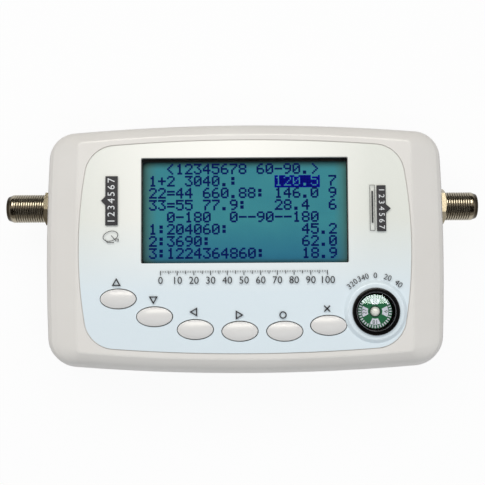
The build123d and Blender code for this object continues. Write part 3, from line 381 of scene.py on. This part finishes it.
def tone(red, green, blue):
    """Colour as it looks on a screen, from 0 to 255, made linear by the usual screen curve."""
    shares = [part / 255 for part in (red, green, blue)]
    return tuple(s / 12.92 if s <= 0.04045 else ((s + 0.055) / 1.055) ** 2.4 for s in shares) + (1.0,)


def lighter(colour, times):
    """Colour with each of its three parts so many times as strong."""
    return tuple(part * times for part in colour[:3]) + (1.0,)


# Finishes

def moulded_white(name, dark, light, roughness):
    """White moulded plastic: faint clouds in the colour and the fine texture of a tool's face."""
    finish = Finish(name)
    clouds = finish.grain(size=22, detail=3)
    skin = finish.grain(size=0.28, detail=3)
    return finish.plastic_or_metal({
        "Base Color": finish.between(clouds, dark, light),
        "Roughness": roughness + 0.08 * skin,
        "Normal": finish.relief(skin, depth=0.012),
    })


def label_silver():
    """Silver-white lacquered sheet with a fine sparkle, with painted light: lighter towards its top, cooler
    towards its lower edge, and darkened by painted shade towards both ends.
    """
    finish = Finish("label_silver")
    x, y = finish.place()[:2]
    # Painted light: the sheet is lighter and warmer towards its top, cooler towards its lower edge
    painted_light_upwards = finish.ramp(y, start=-15, end=9)
    # Painted shade towards both ends, growing with the square of the distance, and a little more to the right
    side = finish.limited(x * x / LABEL_PAINTED_END_SHADE + finish.ramp(x, start=0, end=90))
    speck = finish.grain(size=0.22, detail=2)
    haze = finish.grain(size=14, detail=2)
    sparkle = finish.limited((speck - 0.38) * 2.4)
    upper = finish.between(side, tone(250, 249, 244), tone(225, 227, 220))
    sheet = finish.between(painted_light_upwards, tone(223, 235, 242), upper)
    return finish.plastic_or_metal({
        "Base Color": finish.between(0.14 * sparkle, sheet, tone(252, 253, 255)),
        "Metallic": 0.1,
        "Roughness": 0.45 + 0.10 * haze + 0.08 * sparkle,
        "Normal": finish.relief(speck, depth=0.006),
    })


def ink(name, colour, gloss=0.5):
    """Screen print, very slightly uneven where the ink lies thicker."""
    finish = Finish(name)
    film = finish.grain(size=0.5, detail=2)
    return finish.plastic_or_metal({
        "Base Color": finish.between(film, colour, lighter(colour, times=1.25)),
        "Roughness": 0.38 + 0.12 * film,
        "Specular IOR Level": gloss,
    })


def display_teal():
    """Lit face of the display: teal, bluer towards its foot and grey-green at the rim, with painted shade
    darkening it at its left, top and lower edges.
    """
    finish = Finish("display_teal")
    x, y = finish.place()[:2]
    foot = finish.ramp(y, start=VIEW_FOOT + 14, end=VIEW_FOOT - 4)
    left = finish.ramp(x, start=VIEW_LEFT + 5, end=VIEW_LEFT)
    right = finish.ramp(x, start=VIEW_RIGHT - 4, end=VIEW_RIGHT)
    top = finish.ramp(y, start=VIEW_TOP - 3.6, end=VIEW_TOP - 1)
    base = finish.ramp(y, start=VIEW_FOOT + 1.3, end=VIEW_FOOT)
    rim = finish.limited(left + 0.8 * right + 0.5 * top + 0.6 * base)
    # Painted shade from the walls of the opening, darkest at the left and top edges
    painted_rim_shade = finish.limited(left * left * left * left * left + 0.9 * top * top + 0.5 * base)
    haze = finish.grain(size=9, detail=2)
    face = finish.between(haze, tone(50, 127, 142), tone(62, 142, 149))
    sunk = finish.between(foot, face, tone(34, 100, 136))
    greyed_at_rim = finish.between(0.75 * rim, sunk, tone(78, 108, 92))
    return finish.plastic_or_metal({
        "Base Color": finish.between(painted_rim_shade, greyed_at_rim, tone(12, 30, 34)),
        "Roughness": 0.45,
        "Specular IOR Level": 0.12,
        "Normal": finish.relief(haze, depth=0.01),
    })


def clear_pane(name, tint, mirror_share):
    """Clear plastic: it shows what is behind it and mirrors more at a low angle."""
    finish = Finish(name)
    smear = finish.grain(size=5, detail=3)
    gloss = finish.add("BsdfPrincipled", {}, {
        "Base Color": tint,
        "Metallic": 1.0,
        "Roughness": 0.0,
        "Normal": finish.relief(smear, depth=0.0012),
    })
    through = finish.add("BsdfTransparent", {}, {"Color": WHITE})
    lean = Amount(finish, finish.add("LayerWeight", {}, {"Blend": 0.5}).outputs["Facing"])
    added = (1 - PLASTIC_MIRROR_SHARE) * lean * lean * lean * lean * lean
    mirrored = finish.limited(mirror_share * (PLASTIC_MIRROR_SHARE + added))
    return finish.mixed(mirrored, through, gloss)


def polished_metal(name, dark, light, roughness, stretch=(1, 1, 1)):
    """Metal with faint marks from turning or rolling, drawn out by stretch."""
    finish = Finish(name)
    marks = finish.grain(size=0.15, detail=2, stretch=stretch)
    wear = finish.grain(size=3.5, detail=3)
    return finish.plastic_or_metal({
        "Base Color": finish.between(wear, dark, light),
        "Metallic": 1.0,
        "Roughness": roughness + 0.10 * wear + 0.06 * marks,
        "Normal": finish.relief(marks, depth=0.004),
    })


def plain_moulding(name, dark, light, roughness, skin_size=0.3):
    """Moulded or pressed part with a fine skin."""
    finish = Finish(name)
    skin = finish.grain(size=skin_size, detail=3)
    clouds = finish.grain(size=8, detail=2)
    return finish.plastic_or_metal({
        "Base Color": finish.between(clouds, dark, light),
        "Roughness": roughness + 0.10 * skin,
        "Normal": finish.relief(skin, depth=0.01),
    })


def board_green():
    """Circuit board: solder mask over copper tracks that run along and across."""
    finish = Finish("board_green")
    along = finish.grain(size=1.3, detail=0, stretch=(14, 1, 1))
    across = finish.grain(size=1.3, detail=0, stretch=(1, 14, 1))
    tracks = finish.limited((along - 0.56) * 30) + finish.limited((across - 0.60) * 30)
    copper = finish.limited(tracks)
    return finish.plastic_or_metal({
        "Base Color": finish.between(copper, tone(16, 74, 44), tone(40, 112, 62)),
        "Roughness": 0.35 + 0.10 * finish.grain(size=0.4),
        "Normal": finish.relief(copper, depth=0.035),
    })


def bright_cap():
    """Lacquered metal dome of the compass card."""
    finish = Finish("cap_silver")
    wear = finish.grain(size=1.2, detail=2)
    return finish.plastic_or_metal({
        "Base Color": finish.between(wear, tone(250, 250, 238), tone(255, 255, 246)),
        "Roughness": 0.26 + 0.1 * wear,
        "Specular IOR Level": 1.0,
    })


def threaded_nickel(axis_y, axis_z):
    """Plated thread about an axis along X: bright crests, and painted shade darkening its roots."""
    finish = Finish("threaded_nickel")
    y, z = finish.place()[1:]
    out = finish.maths("SQRT", (y - axis_y) * (y - axis_y) + (z - axis_z) * (z - axis_z))
    crest = finish.ramp(out, start=THREAD_RADIUS - THREAD_DEPTH, end=THREAD_RADIUS)
    wear = finish.grain(size=3.5, detail=3)
    unshaded_metal = finish.between(wear, tone(158, 149, 130), tone(182, 174, 156))
    return finish.plastic_or_metal({
        # Painted shade: the colour darkens from the crests down into the roots
        "Base Color": finish.between(crest * crest, tone(70, 62, 50), unshaded_metal),
        "Metallic": 1.0,
        "Roughness": 0.34 - 0.16 * crest + 0.06 * wear,
    })


# Making pieces

def dress(material, *names):
    """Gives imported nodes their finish."""
    for name in names:
        nodes[name].data.materials.clear()
        nodes[name].data.materials.append(material)


def put_in_scene(name, data):
    """Makes an object of a mesh, lamp or camera and links it to the scene."""
    thing = bpy.data.objects.new(name, data)
    bpy.context.scene.collection.objects.link(thing)
    return thing


def mesh_from(name, made):
    """Turns a bmesh into a mesh."""
    mesh = bpy.data.meshes.new(name)
    made.to_mesh(mesh)
    made.free()
    return mesh


def piece_from(name, made, material, body, smooth=False):
    """Turns a bmesh into a piece that rides on a body. With smooth as None its faces stay as made."""
    bmesh.ops.recalc_face_normals(made, faces=made.faces)
    mesh = mesh_from(name, made)
    mesh.materials.append(material)
    if smooth is not None:
        for face in mesh.polygons:
            face.use_smooth = smooth
    piece = put_in_scene(name, mesh)
    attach(piece, body)
    return piece


def middle_of(node):
    """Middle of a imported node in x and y, in millimetres."""
    low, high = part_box(node)
    return (low.x + high.x) / 2 / MM, (low.y + high.y) / 2 / MM


def axis_of(node):
    """Where the axis of a connector piece lies in y and z, in metres."""
    low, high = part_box(node)
    return (low.y + high.y) / 2, (low.z + high.z) / 2


def ends_outwards(node, side):
    """Inner and outer end of a connector piece, measured outwards from the middle, in millimetres."""
    return [x / MM for x in sorted(side * corner.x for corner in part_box(node))]


def rectangle(left, foot, right, top):
    """Outline of an upright rectangle."""
    return [(left, foot), (right, foot), (right, top), (left, top)]


def arc_points(centre, radius, start, end, steps):
    """Points of an arc, its angles in degrees."""
    points = []
    for step in range(steps + 1):
        angle = math.radians(start + (end - start) * step / steps)
        points.append((centre[0] + radius * math.cos(angle), centre[1] + radius * math.sin(angle)))
    return points


def circle_points(centre, radius, sides):
    """Points of a whole circle."""
    return arc_points(centre, radius, 0, 360, sides)[:-1]


def moved(outline, x, y, turn=0):
    """Outline turned about zero and then moved."""
    turning = Matrix.Rotation(math.radians(turn), 2)
    return [tuple(turning @ Vector(point) + Vector((x, y))) for point in outline]


def join_rings(made, ring, following):
    """Adds the faces between two rings of points, and gives them back."""
    faces = []
    for step in range(len(ring)):
        after = (step + 1) % len(ring)
        faces.append(made.faces.new((ring[step], ring[after], following[after], following[step])))
    return faces


def add_plate(made, outline, layer):
    """Adds a thin plate: its outline in millimetres, and its lower and upper height in metres."""
    bottom, top = [[made.verts.new((x * MM, y * MM, height)) for x, y in outline] for height in layer]
    made.faces.new(reversed(bottom))
    made.faces.new(top)
    join_rings(made, bottom, top)


def line_plates(points, width, closed):
    """Outlines of the strips that make a line of one width, mitred at its corners."""
    count = len(points)
    strips = count if closed else count - 1
    normals = []
    for index in range(strips):
        run = (Vector(points[(index + 1) % count]) - Vector(points[index])).normalized()
        normals.append(Vector((-run.y, run.x)))
    sides = []
    for index, point in enumerate(points):
        before = normals[index - 1] if closed or index else normals[0]
        after = normals[index] if closed or index < count - 1 else normals[-1]
        mitre = (before + after).normalized()
        reach = width / 2 / max(mitre.dot(before), MITRE_LIMIT)
        sides.append((Vector(point) + mitre * reach, Vector(point) - mitre * reach))
    plates = []
    for index in range(strips):
        start, end = sides[index], sides[(index + 1) % count]
        plates.append((start[1], end[1], end[0], start[0]))
    return plates


def add_line(made, points, width, layer, closed=False):
    """Adds a printed line of one width."""
    for plate in line_plates(points, width, closed):
        add_plate(made, plate, layer)


def add_number(made, text, height, x, y, turn, layer):
    """Adds a plain printed number, height millimetres tall, centred on x and y."""
    low, high = layer
    curve = bpy.data.curves.new("number", "FONT")
    curve.body = text
    curve.align_x = "CENTER"
    curve.align_y = "CENTER"
    curve.size = height / DIGIT_SHARE
    curve.resolution_u = DIGIT_CURVE_STEPS
    curve.extrude = (high - low) / 2 / MM
    holder = bpy.data.objects.new("number", curve)
    mesh = bpy.data.meshes.new_from_object(holder)
    start = len(made.verts)
    made.from_mesh(mesh)
    made.verts.ensure_lookup_table()
    put = (
        Matrix.Translation((x * MM, y * MM, (low + high) / 2))
        @ Matrix.Rotation(math.radians(turn), 4, "Z")
        @ Matrix.Scale(MM, 4)
    )
    bmesh.ops.transform(made, matrix=put, verts=made.verts[start:])
    bpy.data.objects.remove(holder)
    bpy.data.curves.remove(curve)
    bpy.data.meshes.remove(mesh)


def add_numbers_round(made, numbers, centre, radius, height, layer):
    """Adds numbers on a circle, each standing outwards at its degrees from the top."""
    for text, degrees in numbers:
        angle = math.radians(90 - degrees)
        x = centre[0] + radius * math.cos(angle)
        y = centre[1] + radius * math.sin(angle)
        add_number(made, text, height, x, y, -degrees, layer)


def print_layer(node):
    """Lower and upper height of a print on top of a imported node, in metres."""
    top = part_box(node)[1].z
    return top - PRINT_SINK * MM, top + PRINT_RISE * MM


def layer_over(layer):
    """Lower and upper height of a second print on a first one, in metres."""
    return layer[1], layer[1] + SECOND_PRINT_RISE * MM


# Printed marks on the label

def add_button_signs(made, layer):
    """Signs over the buttons: four arrows, a ring for confirm and a cross for leave."""
    for name, turn in ARROW_TURNS.items():
        add_line(made, moved(ARROW, *SIGN_PLACES[name], turn), SIGN_LINE, layer, closed=True)
    add_line(made, circle_points(SIGN_PLACES["ok"], RING_RADIUS, RING_SIDES), SIGN_LINE, layer, closed=True)
    x, y = SIGN_PLACES["exit"]
    for rise in (-CROSS_REACH, CROSS_REACH):
        add_line(made, [(x - CROSS_REACH, y - rise), (x + CROSS_REACH, y + rise)], CROSS_LINE, layer)


def scale_x(step):
    """Where a step of the scale lies."""
    return SCALE_LEFT + (SCALE_RIGHT - SCALE_LEFT) * step / SCALE_END


def add_scale(made, layer):
    """Plain scale from 0 to 100 under the display."""
    for step in range(SCALE_END + 1):
        length, width = next(size for every, *size in SCALE_TICKS if step % every == 0)
        x = scale_x(step)
        add_plate(made, rectangle(x - width / 2, SCALE_TOP - length, x + width / 2, SCALE_TOP), layer)
    for step in range(0, SCALE_END + 1, SCALE_NUMBER_STEP):
        add_number(made, str(step), SCALE_NUMBER_HEIGHT, scale_x(step), SCALE_NUMBER_Y, 0, layer)


def add_side_tags(made, layer):
    """Black tags beside the display, each with a point towards its own connector."""
    for tag in (LEFT_TAG, RIGHT_TAG):
        add_plate(made, tag, layer)


def add_tag_numbers(made, layer):
    """Numbers along the tags, in the colour of the label."""
    for index in range(TAG_NUMBER_COUNT):
        for height, x, first_y, step_y, turn in TAG_NUMBERS:
            add_number(made, str(index + 1), height, x, first_y + step_y * index, turn, layer)


def add_dish_sign(made, layer):
    """Small dish in outline under the left tag."""
    x, y = DISH_PLACE
    bowl = []
    for degrees in range(0, 360, DISH_POINT_STEP):
        along, aside = math.cos(math.radians(degrees)), math.sin(math.radians(degrees))
        bowl.append((x + DISH_LONG_AXIS[0] * along + DISH_SHORT_AXIS[0] * aside,
                     y + DISH_LONG_AXIS[1] * along + DISH_SHORT_AXIS[1] * aside))
    add_line(made, bowl, DISH_LINE, layer, closed=True)
    for strut in DISH_STRUTS:
        add_line(made, [(x + across, y + up) for across, up in strut], DISH_LINE, layer)


def add_receiver_sign(made, layer):
    """Set-top box in outline beside the right tag."""
    add_line(made, rectangle(*RECEIVER_BOX), RECEIVER_LINE, layer, closed=True)
    add_plate(made, rectangle(*RECEIVER_FRONT), layer)


def print_label():
    """All print on the label, in two pieces."""
    layer = print_layer("front_cover")
    made = bmesh.new()
    add_button_signs(made, layer)
    add_scale(made, layer)
    add_numbers_round(made, LABEL_NUMBERS, middle_of("compass_card"), LABEL_NUMBERS_RADIUS,
                      LABEL_NUMBERS_HEIGHT, layer)
    add_side_tags(made, layer)
    add_dish_sign(made, layer)
    add_receiver_sign(made, layer)
    piece_from("label_print", made, ink("print_black", tone(44, 44, 48)), "case")
    made = bmesh.new()
    add_tag_numbers(made, layer_over(layer))
    piece_from("tag_numbers", made, ink("print_silver", tone(214, 216, 218)), "case")


# Display dots

def character_dots(character):
    """Column and row of each dark dot of a character."""
    return [
        (column, row)
        for row, bits in enumerate(GLYPHS.get(character, ()))
        for column in range(GLYPH_WIDTH)
        if bits >> (GLYPH_WIDTH - 1 - column) & 1
    ]


def add_dot(made, x, y, height):
    """Adds one square dot, centred on x and y, its height in metres."""
    half = (DOT_PITCH + DOT_SPREAD) / 2
    corners = rectangle(x - half, y - half, x + half, y + half)
    made.faces.new([made.verts.new((px * MM, py * MM, height)) for px, py in corners])


def display_dots():
    """Dark dots of the display, and the marked value as a block with light characters."""
    height = print_layer("display_glass")[1]
    dark, marked = bmesh.new(), bmesh.new()
    for line, text in enumerate(READOUT):
        for cell, character in enumerate(text):
            dots = character_dots(character)
            made = dark
            if line == MARKED_LINE and cell in MARKED_CELLS:
                made = marked
                block = [(column, row) for column in range(CELL_DOTS_WIDE) for row in range(CELL_DOTS_TALL)]
                dots = [dot for dot in block if dot not in dots]
            for column, row in dots:
                x = READOUT_LEFT + (cell * CELL_DOTS_WIDE + column + 0.5) * DOT_PITCH
                y = READOUT_TOP - line * LINE_PITCH - (row + 0.5) * DOT_PITCH
                add_dot(made, x, y, height)
    blue = ink("dots_blue", tone(0, 26, 96), gloss=0.05)
    deep_blue = ink("dots_deep_blue", tone(0, 10, 142), gloss=0.05)
    piece_from("display_dots", dark, blue, "case")
    piece_from("display_marked_value", marked, deep_blue, "case")


# Compass

def compass_dial():
    """White print on the green card, ticks and four pale sectors, with numbers and a hub over it."""
    centre = middle_of("compass_card")
    layer = print_layer("compass_card")
    made = bmesh.new()
    for tick in range(DIAL_TICKS):
        angle = 2 * math.pi * tick / DIAL_TICKS
        ends = [(centre[0] + r * math.cos(angle), centre[1] + r * math.sin(angle)) for r in DIAL_TICK_ENDS]
        add_line(made, ends, DIAL_TICK_WIDTH, layer)
    for turn in SECTOR_TURNS:
        outer = arc_points((0, 0), SECTOR_OUTER_RADIUS, -SECTOR_OUTER_HALF_ANGLE,
                           SECTOR_OUTER_HALF_ANGLE, SECTOR_STEPS)
        inner = arc_points((0, 0), SECTOR_INNER_RADIUS, -SECTOR_INNER_HALF_ANGLE,
                           SECTOR_INNER_HALF_ANGLE, SECTOR_STEPS)
        add_plate(made, moved(outer + inner[::-1], *centre, turn), layer)
    piece_from("dial_print", made, ink("dial_white", tone(216, 218, 228)), "compass_rotor")
    made = bmesh.new()
    add_numbers_round(made, DIAL_NUMBERS, centre, DIAL_NUMBERS_RADIUS, DIAL_NUMBERS_HEIGHT, layer_over(layer))
    add_plate(made, circle_points(centre, HUB_RADIUS, HUB_SIDES), layer)
    piece_from("dial_numbers", made, ink("dial_ink", tone(30, 66, 50)), "compass_rotor")


def lens_with_ground_edge(clear, ground):
    """Crowned compass lens whose upper edge is ground off, which shows as a thin pale line."""
    low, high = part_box("compass_lens")
    middle = (low + high) / 2
    radius = (high.x - low.x) / 2
    profile = [(radius, low.z), (radius, high.z - (LENS_CROWN + LENS_EDGE) * MM)]
    for step in range(LENS_CROWN_STEPS):
        reach = (radius - LENS_EDGE * MM) * (1 - step / LENS_CROWN_STEPS)
        profile.append((reach, high.z - LENS_CROWN * MM * (reach / radius) ** 2))
    made = bmesh.new()
    rings = []
    for reach, height in profile:
        circle = circle_points((middle.x / MM, middle.y / MM), reach / MM, LENS_SIDES)
        rings.append([made.verts.new((x * MM, y * MM, height)) for x, y in circle])
    made.faces.new(reversed(rings[0]))
    made.faces.new(rings[-1])
    for band, (lower, upper) in enumerate(zip(rings, rings[1:])):
        for face in join_rings(made, lower, upper):
            face.material_index = 1 if band == GROUND_BAND else 0
            face.smooth = band > GROUND_BAND
    piece = piece_from("ground_compass_lens", made, clear, "case", smooth=None)
    piece.data.materials.append(ground)
    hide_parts("compass_lens")


# Connectors

def ring_of(made, x, radius_at, axis_y, axis_z):
    """Adds one ring of points round the connector axis, which lies at axis_y and axis_z in metres."""
    ring = []
    for step in range(CONNECTOR_SIDES):
        angle = 2 * math.pi * step / CONNECTOR_SIDES
        radius = radius_at(angle) * MM
        y = axis_y + radius * math.sin(angle)
        z = axis_z + radius * math.cos(angle)
        ring.append(made.verts.new((x * MM, y, z)))
    return ring


def smooth_ring(radius):
    """Radius round the turn of a plain stretch."""
    return lambda angle: radius


def thread_ring(x, side, fade):
    """Radius round the turn of the thread at one place along the axis. fade is how much of it is cut."""
    def radius_at(angle):
        turn = (x / THREAD_PITCH - side * angle / (2 * math.pi)) % 1
        groove = max(0, 1 - abs(turn - 0.5) / GROOVE_HALF_SHARE)
        return THREAD_RADIUS - THREAD_DEPTH * fade * groove
    return radius_at


def barrel_stations(tail, tip, nut_outer, side):
    """Places along the barrel from its tail to its tip, each with its radius round the turn."""
    flange = tail + TAIL_LENGTH
    nose = tip - NOSE_LENGTH
    thread = flange + THREAD_START
    stations = [
        (tail, smooth_ring(BORE_RADIUS)),
        (tail, smooth_ring(TAIL_RADIUS)),
        (flange, smooth_ring(TAIL_RADIUS)),
        (flange, smooth_ring(FLANGE_RADIUS)),
        (flange + FLANGE_LENGTH, smooth_ring(FLANGE_RADIUS)),
        (flange + FLANGE_LENGTH, smooth_ring(THREAD_RADIUS - THREAD_DEPTH)),
    ]
    steps = round((nose - thread) / THREAD_PITCH * STATIONS_PER_TURN)
    for step in range(steps + 1):
        x = thread + (nose - thread) * step / steps
        to_nose = min(1, max(0, (nose - x) / NOSE_FADE))
        to_nut = min(1, max(0, (x - nut_outer + THREAD_UNDER_NUT) / NUT_FADE))
        stations.append((x, thread_ring(x, side, to_nose * to_nut)))
    for along, radius in NOSE_PROFILE:
        stations.append((nose + along, smooth_ring(radius)))
    return stations


def threaded_barrel(name, side, material):
    """Barrel with its cut thread, in place of the plain one."""
    node = "connector_barrel_" + name
    tail, tip = ends_outwards(node, side)
    nut_outer = ends_outwards("connector_nut_" + name, side)[1]
    stations = barrel_stations(tail, tip, nut_outer, side)
    axis_y, axis_z = axis_of(node)
    made = bmesh.new()
    rings = [ring_of(made, side * x, radius_at, axis_y, axis_z) for x, radius_at in stations]
    for ring, following in zip(rings, rings[1:] + rings[:1]):
        join_rings(made, ring, following)
    piece = piece_from("threaded_barrel_" + name, made, material, "case", smooth=True)
    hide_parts(node)


def tightened_nut(name, side, turn, material):
    """Nut as it was left when tightened, a little thicker and turned in degrees on its thread."""
    node = "connector_nut_" + name
    low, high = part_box(node)
    middle = (low + high) / 2
    piece = put_in_scene("tightened_nut_" + name, nodes[node].data.copy())
    spin = (
        Matrix.Translation(middle)
        @ Matrix.Rotation(math.radians(turn), 4, "X")
        @ Matrix.Translation(-middle)
    )
    piece.data.transform(spin @ nodes[node].matrix_world)
    for corner in piece.data.vertices:
        if side * (corner.co.x - middle.x) > 0:
            corner.co.x += side * NUT_EXTRA * MM
    piece.data.materials.clear()
    piece.data.materials.append(material)
    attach(piece, "case")
    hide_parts(node)


# Screws

def recess_cutter(low, high):
    """Crosses that cut the recesses, from the box of the case screws."""
    across = high.x - SCREW_HEAD_RADIUS * MM
    up = high.y - SCREW_HEAD_RADIUS * MM
    slot = rectangle(-RECESS_HALF_LENGTH, -RECESS_HALF_WIDTH, RECESS_HALF_LENGTH, RECESS_HALF_WIDTH)
    made = bmesh.new()
    for x, y in ((across, up), (-across, up), (-across, -up), (across, -up)):
        for turn in (0, 90):
            outline = moved(slot, x / MM, y / MM, turn + RECESS_TURN)
            add_plate(made, outline, (low.z - RECESS_OVERRUN * MM, low.z + RECESS_DEPTH * MM))
    return put_in_scene("recess", mesh_from("recess", made))


def cross_head_screws(material):
    """Case screws with a cross recess in each head."""
    piece = put_in_scene("cross_head_screws", nodes["case_screws"].data.copy())
    tool = recess_cutter(*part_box("case_screws"))
    cut = piece.modifiers.new("recess", "BOOLEAN")
    cut.operation = "DIFFERENCE"
    cut.object = tool
    cut.use_self = True
    bpy.context.view_layer.update()
    finished = bpy.data.meshes.new_from_object(piece.evaluated_get(bpy.context.evaluated_depsgraph_get()))
    piece.modifiers.clear()
    piece.data = finished
    finished.materials.clear()
    finished.materials.append(material)
    bpy.data.objects.remove(tool)
    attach(piece, "case")
    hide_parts("case_screws")


# Room

def light_floor():
    """Pale floor that shows white and keeps the object's shadow."""
    made = bmesh.new()
    edge = FLOOR_HALF_SIZE
    made.faces.new([made.verts.new((x, y, 0)) for x, y in rectangle(-edge, -edge, edge, edge)])
    floor = put_in_scene("floor", mesh_from("floor", made))
    finish = Finish("floor")
    paint = finish.add("BsdfDiffuse", {}, {
        "Color": finish.between(finish.rays("Diffuse"), FLOOR_PAINT, FLOOR_BOUNCE),
    })
    glow = finish.add("Emission", {}, {"Color": WHITE, "Strength": 1.0})
    seen = finish.rays("Camera", "Glossy", "Transmission")
    floor.data.materials.append(finish.mixed(FLOOR_GLOW_SHARE * seen, paint, glow))


def white_surroundings():
    """World that lights softly and shows white, also in metal and glass."""
    finish = Finish("surroundings", world=True)
    lighting = finish.add("Background", {}, {"Color": WHITE, "Strength": WORLD_STRENGTH})
    shown = finish.add("Background", {}, {"Color": WHITE})
    seen = finish.rays("Camera", "Glossy", "Transmission")
    bpy.context.scene.world = finish.mixed(seen, lighting, shown)


def reflector(name, corners, colour, strength, clear_pane_strength):
    """Studio card that shows only as a reflection, at its own strength in the clear panes."""
    mesh = bpy.data.meshes.new(name)
    quads = [(index, index + 1, index + 3, index + 2) for index in range(0, len(corners) - 2, 2)]
    mesh.from_pydata(corners, [], quads)
    card = put_in_scene(name, mesh)
    finish = Finish(name)
    metal = finish.add("BsdfTransparent")
    if strength:
        metal = finish.add("Emission", {}, {"Color": colour, "Strength": strength})
    pane = finish.add("Emission", {}, {"Color": colour, "Strength": clear_pane_strength})
    mesh.materials.append(finish.mixed(finish.rays("Singular"), metal, pane))
    for rays in ("camera", "diffuse", "transmission", "volume_scatter", "shadow"):
        setattr(card, "visible_" + rays, False)


def hood_over_the_bench():
    """Dark cloth over the bench, with a grey strip overhead. Metal gets its bands from it."""
    for name, start, end, radius, reach, colour, strength in HOOD_BANDS:
        corners = []
        for y, z in arc_points((0, 0), radius, 90 - start, 90 - end, HOOD_STEPS):
            corners += [(-reach, y, z), (reach, y, z)]
        reflector(name, corners, colour, strength, min(strength, HOOD_STRENGTH_IN_PANES))


def glare_over_the_lens():
    """Card that only the clear panes mirror, and that gives the compass lens its glare."""
    height = CAMERA_PLACE[2]
    corners = [(x, y, height) for left, right, y in GLARE_ROWS for x in (left, right)]
    reflector("lens_glare", corners, GLARE_COLOUR, 0, GLARE_STRENGTH)


def soft_lamp(name, place, width, height, power, colour):
    """Flat lamp that lights the object and isn't mirrored in it."""
    lamp = bpy.data.lights.new(name, "AREA")
    lamp.shape = "RECTANGLE"
    lamp.size, lamp.size_y = width, height
    lamp.energy = power
    lamp.color = colour
    holder = put_in_scene(name, lamp)
    holder.location = place
    holder.rotation_euler = (Vector(LAMP_AIM) - Vector(place)).to_track_quat("-Z", "Y").to_euler()
    holder.visible_glossy = False


def camera_over_the_face():
    """Camera of the photograph, above the face and a little towards its lower edge."""
    lens = bpy.data.cameras.new("camera")
    lens.sensor_width = CAMERA_SENSOR
    lens.lens = CAMERA_LENS
    camera = put_in_scene("camera", lens)
    placing = Matrix.Translation(CAMERA_PLACE)
    for axis, turn in CAMERA_TURNS:
        placing = placing @ Matrix.Rotation(turn, 4, axis)
    camera.matrix_world = placing
    bpy.context.scene.camera = camera


camera_over_the_face()
light_floor()
white_surroundings()
for lamp_values in LAMPS:
    soft_lamp(*lamp_values)
hood_over_the_bench()
glare_over_the_lens()

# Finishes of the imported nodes

dress(moulded_white("case_white", tone(222, 218, 213), tone(231, 228, 224), 0.36),
      "front_cover", "rear_cover")
dress(label_silver(), "front_label")
dress(clear_pane("window_clear", tone(240, 244, 244), mirror_share=0.4), "display_window")
dress(plain_moulding("bezel_black", tone(22, 24, 24), tone(34, 38, 38), 0.42), "display_bezel")
dress(display_teal(), "display_glass")
dress(plain_moulding("light_guide", tone(214, 222, 214), tone(232, 238, 230), 0.3, skin_size=0.9),
      "display_backlight")
dress(board_green(), "display_board", "main_board")
dress(polished_metal("tinned_steel", tone(176, 178, 180), tone(206, 208, 208), 0.32, stretch=(6, 1, 1)),
      "tuner_can", "tuner_lid", "switch_plates", "crystal")
steel = polished_metal("screw_steel", tone(150, 150, 152), tone(190, 190, 192), 0.3)
dress(steel, "board_screws", "display_screws", "compass_pivot", "lock_washer_left", "lock_washer_right")
black_moulding = plain_moulding("moulding_black", tone(20, 20, 22), tone(30, 30, 33), 0.5)
dress(black_moulding, "switch_bodies", "main_chip", "buzzer", "regulator", "display_header")
dress(plain_moulding("ferrite_grey", tone(62, 62, 66), tone(84, 84, 88), 0.6, skin_size=0.6), "coil")
dress(polished_metal("magnet_steel", tone(96, 98, 104), tone(128, 130, 134), 0.35), "compass_magnet")
dress(plain_moulding("sleeve_dark", tone(28, 34, 58), tone(40, 46, 74), 0.32, skin_size=0.8), "capacitors")
button_white = moulded_white("button_white", tone(219, 217, 215), tone(226, 224, 222), 0.2)
for button in SIGN_PLACES:
    dress(button_white, "button_" + button)
    dress(black_moulding, "stem_" + button)
dress(plain_moulding("compass_black", tone(5, 5, 6), tone(11, 11, 12), 0.10, skin_size=1.2),
      "compass_housing")
dress(plain_moulding("card_green", tone(12, 94, 56), tone(22, 120, 72), 0.42, skin_size=0.4),
      "compass_card")
dress(bright_cap(), "compass_cap")
dress(plain_moulding("insulator_white", tone(220, 216, 204), tone(234, 231, 222), 0.42),
      "connector_insulator_left", "connector_insulator_right")
dress(polished_metal("contact_brass", tone(178, 140, 74), tone(212, 176, 104), 0.24),
      "connector_contact_left", "connector_contact_right")

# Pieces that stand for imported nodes, or lie on them

lens_with_ground_edge(clear_pane("lens_clear", tone(244, 250, 246), mirror_share=1.0),
                      plain_moulding("lens_edge", tone(150, 152, 158), tone(172, 174, 178), 0.5))
nickel = polished_metal("nickel_plate", tone(150, 140, 118), tone(176, 167, 146), 0.2, stretch=(0.4, 8, 8))
thread_nickel = threaded_nickel(*[place / MM for place in axis_of("connector_barrel_left")])
for connector, side, nut_turn in (("left", -1, 7), ("right", 1, -9)):
    threaded_barrel(connector, side, thread_nickel)
    tightened_nut(connector, side, nut_turn, nickel)
cross_head_screws(steel)
print_label()
display_dots()
compass_dial()

bpy.context.scene.view_settings.view_transform = "Standard"
